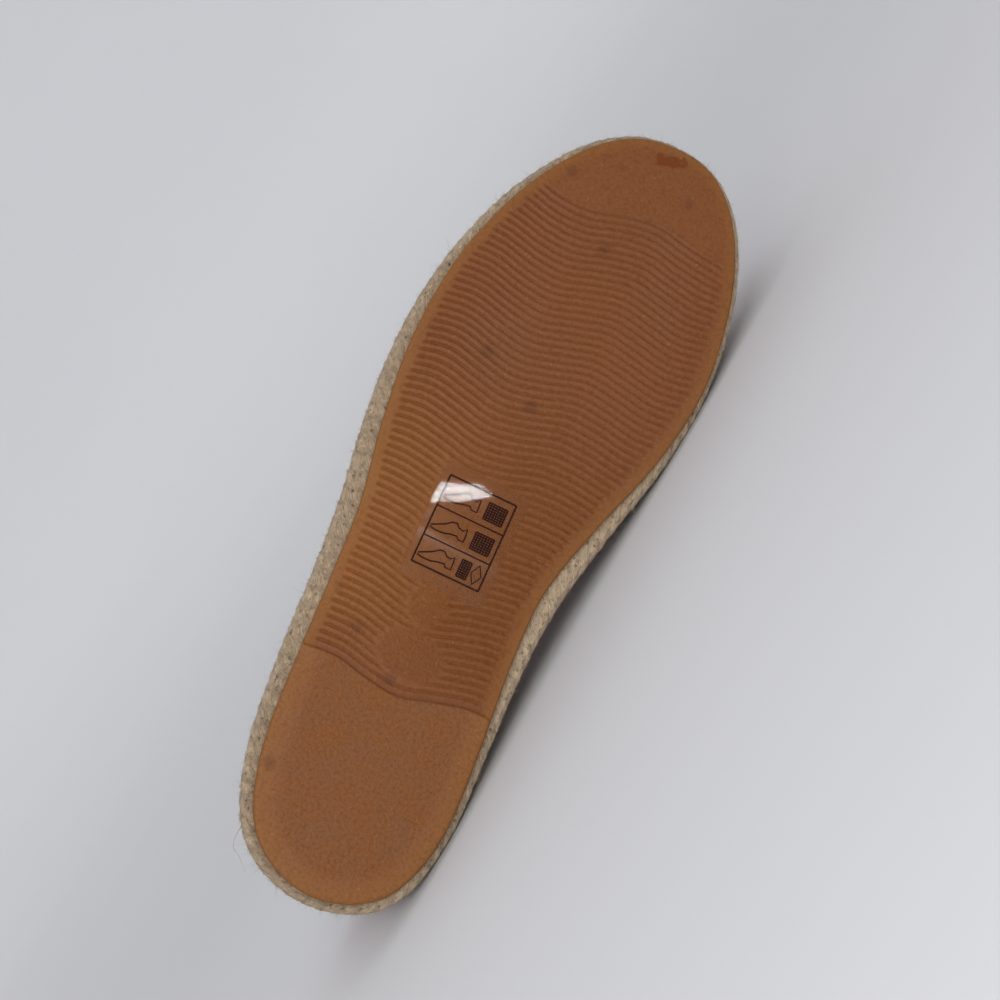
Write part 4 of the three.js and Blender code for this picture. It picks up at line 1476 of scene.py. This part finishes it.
def collar_path(form, away):
    """The line on the outside at one distance from the collar, from the throat round the heel."""
    path, normals = [], []
    order = np.concatenate([np.flatnonzero(form.turn > math.pi), np.flatnonzero(form.turn <= math.pi)])
    for i in order:
        distance = form.to_collar[:, i]
        below = np.flatnonzero((distance[:-1] > away) & (distance[1:] <= away))
        if not len(below):
            continue
        row = below[-1]
        share = (distance[row] - away) / (distance[row] - distance[row + 1])
        path.append(form.outside[row, i] * (1 - share) + form.outside[row + 1, i] * share)
        normals.append(form.normals[row, i])
    path.append(path[0])
    normals.append(normals[0])
    return np.array(path), np.array(normals)


class ESPADRILLE_OT_stitching(bpy.types.Operator):
    """Hem, side seam and back seam stitches, and the thick stitches that hold upper and jute"""
    bl_idname = "espadrille.stitching"
    bl_label = "Stitching"

    def execute(self, context):
        canvas = context.scene.espadrille_canvas
        jute = context.scene.espadrille_jute
        form = UpperForm()
        rose = tuple(0.8 * channel for channel in canvas.rose)
        fine = stitches_along(*collar_path(form, HEM - 1.3), *SEAM_STITCH)
        for seam_place in (1.7, 4.6):
            for side in (1, -1):
                wanted = turn_at(SEAM_X + SEAM_WIDTH + seam_place)
                target = wanted if side == 1 else 2 * math.pi - wanted
                column = int(np.argmin(np.abs(form.turn - target)))
                rows = (form.rise[:, column] > SEAM_START) & (form.to_collar[:, column] > HEM)
                fine += stitches_along(form.outside[rows, column], form.normals[rows, column],
                                       *SEAM_STITCH)
        for side in (2.6, -2.6):
            y = form.outside[:, :, 1] - BACK_SEAM_Y
            columns = np.flatnonzero(form.half_turn < 0.5)
            path, out = [], []
            for row in range(UPPER_ROWS + 1):
                if form.rise[row, 0] < SEAM_START or form.to_collar[row, 0] < HEM:
                    continue
                column = columns[int(np.argmin(np.abs(y[row, columns] - side)))]
                path.append(form.outside[row, column])
                out.append(form.normals[row, column])
            fine += stitches_along(np.array(path), np.array(out), *SEAM_STITCH)
        points, faces, cloth = joined(fine)
        piece = add_piece("seam_stitches", points, faces, [thread_material("rose_thread", rose)],
                          {"cloth": cloth})
        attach(piece, "root")

        turns, _ = sole_stitch_turns(jute)
        parts = [sole_stitch(turn) for turn in turns]
        points, faces, cloth = joined(parts)
        piece = add_piece("sole_stitches", points, faces,
                          [thread_material("ecru_thread", tuple(canvas.ecru))], {"cloth": cloth})
        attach(piece, "root")
        return {"FINISHED"}


def sole_stitch(turn):
    """A thick stitch: out of the jute's wall at half height, over its edge, into the upper."""
    turn = np.array([turn])
    inset_at = line_through(JUTE_WALL[:, 0], JUTE_WALL[:, 1])
    radius = 0.55
    route = []
    for rise, out in ((0.5, -0.9), (0.56, 0.1), (0.75, 0.45), (0.93, 0.45)):
        flat, _ = outline_point(turn, proud(turn) - inset_at(rise) + out)
        z = underside(flat[:, 0]) + JUTE_BOTTOM + rise * JUTE
        route.append((*flat[0], float(z[0])))
    flat, normal = outline_point(turn, proud(turn) - FOOT_INSET)
    base = underside(flat[:, 0]) + JUTE_TOP
    vamp = LAP * smooth_step(SEAM_X, SEAM_X + SEAM_WIDTH, length_at(turn))
    for up, out in ((0.55, 0.8), (1.6, 0.45), (3.0, 0.4), (4.0, -0.5)):
        spot = flat[0] + normal[0] * (vamp + out + 0.08 * up)
        route.append((*spot, float(base[0]) + up))
    path = curve_through(route, 18)
    points, faces = tube(path, radius, 8)
    return points, faces, 8


# The sole label

def label_point(along, across):
    """A place on the label, from its middle, as a place on the shoe."""
    cos, sin = math.cos(LABEL_TURN), math.sin(LABEL_TURN)
    return (LABEL_MIDDLE[0] + along * cos - across * sin,
            LABEL_MIDDLE[1] + along * sin + across * cos)


def film_height(along, across):
    """Outer face of the film: flat, barely rippled near its lateral edge."""
    x, _ = label_point(along, across)
    corner = bump_at((along - 8) / 9, 1.0) * smooth_step(-8, -12, across)
    ripple = 0.004 * (1 + np.sin(along * 0.8 - across * 0.3))
    return underside(x) - 0.05 - FILM - corner * ripple


class ESPADRILLE_OT_label(bpy.types.Operator):
    """Clear film on the waist of the sole, with a plain printed frame and plain motifs"""
    bl_idname = "espadrille.label"
    bl_label = "Sole label"

    def execute(self, context):
        along, across = np.meshgrid(np.linspace(-1, 1, 61), np.linspace(-1, 1, 47), indexing="ij")
        rounded = 1.2
        a, c = along * LABEL_SIZE[0] / 2, across * LABEL_SIZE[1] / 2
        corner_a = np.maximum(np.abs(a) - (LABEL_SIZE[0] / 2 - rounded), 0)
        corner_c = np.maximum(np.abs(c) - (LABEL_SIZE[1] / 2 - rounded), 0)
        reach = np.hypot(corner_a, corner_c)
        pull = np.where(reach > rounded, rounded / np.maximum(reach, 1e-9), 1.0)
        a = np.sign(a) * (np.abs(a) - corner_a * (1 - pull))
        c = np.sign(c) * (np.abs(c) - corner_c * (1 - pull))
        x, y = label_point(a, c)
        outer = film_height(a, c)
        faces_out = np.stack([x, y, outer], axis=-1)
        faces_in = np.stack([x, y, outer + FILM], axis=-1)
        rows, columns = a.shape
        count = rows * columns
        points = np.concatenate([faces_out.reshape(-1, 3), faces_in.reshape(-1, 3)])
        faces = np.concatenate([grid_faces(rows, columns),
                                grid_faces(rows, columns, start=count)[:, ::-1]]).tolist()
        ring = ([i * columns for i in range(rows)] + [(rows - 1) * columns + j for j in range(1, columns)]
                + [i * columns + columns - 1 for i in range(rows - 2, -1, -1)]
                + [j for j in range(columns - 2, 0, -1)])
        for here, there in zip(ring, ring[1:] + ring[:1]):
            faces.append([here, there, there + count, here + count])
        film = add_piece("label_film", points, faces, [film_material()])
        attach(film, "root")

        bands = print_bands()
        points, faces = [], []
        for band in bands:
            start = sum(len(p) for p in points)
            band_points, band_faces = raised_band(*band)
            points.append(band_points)
            faces += [[corner + start for corner in face] for face in band_faces]
        ink = add_piece("label_print", np.concatenate(points), faces, [ink_material()])
        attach(ink, "root")
        return {"FINISHED"}


def raised_band(line, width, closed):
    """A printed line: a thin raised band along points on the label."""
    line = np.asarray(line, float)
    if closed:
        ahead, behind = np.roll(line, -1, axis=0), np.roll(line, 1, axis=0)
    else:
        ahead = np.concatenate([line[1:], line[-1:]])
        behind = np.concatenate([line[:1], line[:-1]])
    along = ahead - behind
    along /= np.maximum(np.linalg.norm(along, axis=1, keepdims=True), 1e-9)
    side = np.stack([-along[:, 1], along[:, 0]], axis=1) * width / 2
    points = []
    for edge, lift in ((1, 0.01), (1, INK), (-1, INK), (-1, 0.01)):
        spot = line + side * edge
        x, y = label_point(spot[:, 0], spot[:, 1])
        points.append(np.stack([x, y, film_height(spot[:, 0], spot[:, 1]) - lift], axis=1))
    ring = np.stack(points, axis=1)
    count = len(line)
    faces = []
    for i in range(count if closed else count - 1):
        a, b = i * 4, (i + 1) % count * 4
        faces += [[a + j, a + (j + 1) % 4, b + (j + 1) % 4, b + j] for j in range(4)]
    if not closed:
        faces += [[0, 1, 2, 3], [(count - 1) * 4 + j for j in (3, 2, 1, 0)]]
    return ring.reshape(-1, 3), faces


def straight(start, end):
    """A line on the label with points about every millimetre, so that it follows the film."""
    start, end = np.asarray(start, float), np.asarray(end, float)
    count = max(2, int(np.linalg.norm(end - start)) + 1)
    return start + (end - start) * np.linspace(0, 1, count)[:, None]


def shoe_motif(along, across):
    """Outline of a plain low shoe from the side, its toe at the label's lateral side."""
    outline = ((-5.3, -1.9), (-5.2, -1.2), (-3.6, -0.4), (-1.6, 0.6), (0.2, 2.0), (1.6, 2.2),
               (2.6, 1.2), (4.0, 0.9), (5.0, 1.8), (5.2, 0.2), (5.3, -2.0), (3.5, -2.0),
               (3.0, -1.2), (0.8, -1.5), (-1.0, -2.1), (-3.5, -2.2))
    return np.array([(along + up, across + side) for side, up in outline])


def print_bands():
    """Every printed line: frame, dividers, low shoes, nets and a diamond. Line, width, closed."""
    (low, high), (left, right) = FRAME_ALONG, FRAME_ACROSS
    steps = (high, *reversed(DIVIDERS), low)
    bands = []
    for start, end in (((low, left), (high, left)), ((high, left), (high, right)),
                       ((high, right), (low, right)), ((low, right), (low, left))):
        bands.append((straight(start, end), 0.5, False))
    for place in reversed(DIVIDERS):
        bands.append((straight((place, left), (place, right)), 0.4, False))
    for number, (top, bottom) in enumerate(zip(steps, steps[1:])):
        middle = (bottom + top) / 2 - 0.2
        bands.append((shoe_motif(middle + 0.2, -4.9), 0.42, True))
        half_across = 2.9 if number < 2 else 1.5
        centre = 5.6 if number < 2 else 3.9
        for share in np.linspace(-1, 1, 8):
            offset = share * 2.6
            bands.append((straight((middle + offset, centre - half_across),
                                   (middle + offset, centre + half_across)), 0.42, False))
        for share in np.linspace(-1, 1, 8 if number < 2 else 5):
            offset = centre + share * half_across
            bands.append((straight((middle - 2.6, offset), (middle + 2.6, offset)), 0.42, False))
        if number == 2:
            diamond = [(middle - 3.0, 7.7), (middle, 6.1), (middle + 3.0, 7.7), (middle, 9.3)]
            for here, there in zip(diamond, diamond[1:] + diamond[:1]):
                bands.append((straight(here, there), 0.28, False))
    return bands


# Floor, light and camera

def add_light(name, place, target, power, width, height):
    """A soft rectangular light at a place in metres, turned to a target."""
    light = bpy.data.lights.new(name, "AREA")
    light.shape = "RECTANGLE"
    light.size, light.size_y = width, height
    light.energy = power
    lamp = bpy.data.objects.new(name, light)
    lamp.location = place
    lamp.rotation_euler = (Vector(target) - Vector(place)).to_track_quat("-Z", "Y").to_euler()
    bpy.context.scene.collection.objects.link(lamp)
    return lamp


def add_camera():
    """The photograph's place and angle, rolled as it was, framed on this shoe."""
    place, aim = (Vector(lay_down(np.array(p))) for p in (CAMERA_PLACE, CAMERA_AIM))
    up = Vector(AXES @ np.array(CAMERA_UP))
    forward = (aim - place).normalized()
    right = forward.cross(up).normalized()
    above = right.cross(forward)
    camera = bpy.data.objects.new("camera", bpy.data.cameras.new("camera"))
    camera.data.lens = CAMERA_LENS
    camera.data.sensor_width = 36
    camera.data.clip_start = 0.02
    turned = Matrix((right, above, -forward)).transposed().to_4x4()
    camera.matrix_world = Matrix.Translation(place) @ turned
    bpy.context.scene.collection.objects.link(camera)
    bpy.context.scene.camera = camera
    return place


def add_glare(eye):
    """A small lamp that the film mirrors into the camera, as one slanted streak near its toe end."""
    ends = []
    for x, y in GLARE_SPOTS:
        place = lay_down(np.array([x, y, float(underside(np.array(x))) - 0.2]))
        view = np.array(eye) - place
        view /= np.linalg.norm(view)
        slope = float(underside(np.array(x + 0.5)) - underside(np.array(x - 0.5)))
        out = AXES @ np.array([slope, 0.0, -1.0]) / math.hypot(slope, 1.0)
        ends.append(place + (2 * (out @ view) * out - view) * GLARE_LAMP["away"])
    middle = (ends[0] + ends[1]) / 2
    length = np.linalg.norm(ends[1] - ends[0]).item()
    target = lay_down(np.array(GLARE_LAMP["aim"]))
    lamp = add_light("glare", middle, target, GLARE_LAMP["power"], GLARE_LAMP["width"], length)
    forward = Vector(target - middle).normalized()
    along = Vector(ends[1] - ends[0])
    along = (along - forward * along.dot(forward)).normalized()
    turned = Matrix((along.cross(-forward), along, -forward)).transposed().to_4x4()
    lamp.matrix_world = Matrix.Translation(Vector(middle)) @ turned


class ESPADRILLE_OT_stage(bpy.types.Operator):
    """Pale floor that rises far round the shoe, soft lights and the camera"""
    bl_idname = "espadrille.stage"
    bl_label = "Stage"

    def execute(self, context):
        settings = context.scene.espadrille_stage
        radii = np.concatenate([np.linspace(0, 1.1, 12), np.linspace(1.25, 3.2, 16)])
        turn = np.linspace(0, 2 * math.pi, 96, endpoint=False)
        radius, angle = np.meshgrid(radii, turn, indexing="ij")
        rise = 0.5 * np.maximum(0, radius - 1.1) ** 2
        points = np.stack([radius * np.cos(angle), radius * np.sin(angle), rise], axis=-1)
        mesh = bpy.data.meshes.new("paper")
        faces = grid_faces(len(radii), len(turn), closed=True).tolist()
        mesh.from_pydata(points.reshape(-1, 3).tolist(), [], faces)
        body = bmesh.new()
        body.from_mesh(mesh)
        bmesh.ops.remove_doubles(body, verts=body.verts, dist=1e-6)
        body.to_mesh(mesh)
        body.free()
        mesh.shade_smooth()
        mesh.materials.append(paper_material(settings))
        paper = bpy.data.objects.new("paper", mesh)
        context.scene.collection.objects.link(paper)
        middle = (0.0, 0.0, 0.04)
        add_light("key", (0.28, -0.85, 1.05), middle, settings.key_power, 0.75, 0.75)
        add_light("fill", (-1.0, -0.75, 0.55), middle, settings.fill_power, 0.9, 0.7)
        add_light("back", (0.5, 1.0, 1.1), middle, settings.fill_power, 0.9, 0.7)
        front = lay_down(np.array([-180.0, -330.0, -950.0]))
        add_light("front", front, middle, settings.front_power, 0.6, 0.4)
        world = bpy.data.worlds.new("soft_sky")
        world.use_nodes = True
        sky = world.node_tree.nodes["Background"]
        sky.inputs["Color"].default_value = (*srgb(214, 213, 217), 1.0)
        sky.inputs["Strength"].default_value = settings.sky
        context.scene.world = world
        context.scene.view_settings.view_transform = "Standard"
        eye = add_camera()
        add_glare(eye)
        return {"FINISHED"}


OPERATORS = (
    ESPADRILLE_OT_stage, ESPADRILLE_OT_outsole, ESPADRILLE_OT_midsole, ESPADRILLE_OT_jute_fuzz,
    ESPADRILLE_OT_insole, ESPADRILLE_OT_upper, ESPADRILLE_OT_stitching, ESPADRILLE_OT_label,
)
SETTINGS = {
    "espadrille_sole": SoleSettings,
    "espadrille_jute": JuteSettings,
    "espadrille_canvas": CanvasSettings,
    "espadrille_stage": StageSettings,
}


class ESPADRILLE_PT_panel(bpy.types.Panel):
    """The espadrille's pieces and settings"""
    bl_idname = "ESPADRILLE_PT_panel"
    bl_label = "Espadrille"
    bl_space_type = "VIEW_3D"
    bl_region_type = "UI"
    bl_category = "Espadrille"

    def draw(self, context):
        for name, group in SETTINGS.items():
            box = self.layout.box()
            box.label(text=group.__doc__)
            for label in group.__annotations__:
                box.prop(getattr(context.scene, name), label)
        for operator in OPERATORS:
            self.layout.operator(operator.bl_idname)


def register():
    for group in SETTINGS.values():
        bpy.utils.register_class(group)
    for operator in OPERATORS:
        bpy.utils.register_class(operator)
    bpy.utils.register_class(ESPADRILLE_PT_panel)
    for name, group in SETTINGS.items():
        setattr(bpy.types.Scene, name, PointerProperty(type=group))


def unregister():
    for name in SETTINGS:
        delattr(bpy.types.Scene, name)
    bpy.utils.unregister_class(ESPADRILLE_PT_panel)
    for operator in reversed(OPERATORS):
        bpy.utils.unregister_class(operator)
    for group in reversed(list(SETTINGS.values())):
        bpy.utils.unregister_class(group)


def main():
    """Makes the node groups, then every piece in order."""
    register()
    make_mottle_group()
    make_weave_group()
    make_fibre_group()
    make_speck_group()
    for operator in OPERATORS:
        family, name = operator.bl_idname.split(".")
        getattr(getattr(bpy.ops, family), name)()


if __name__ == "__main__":
    main()
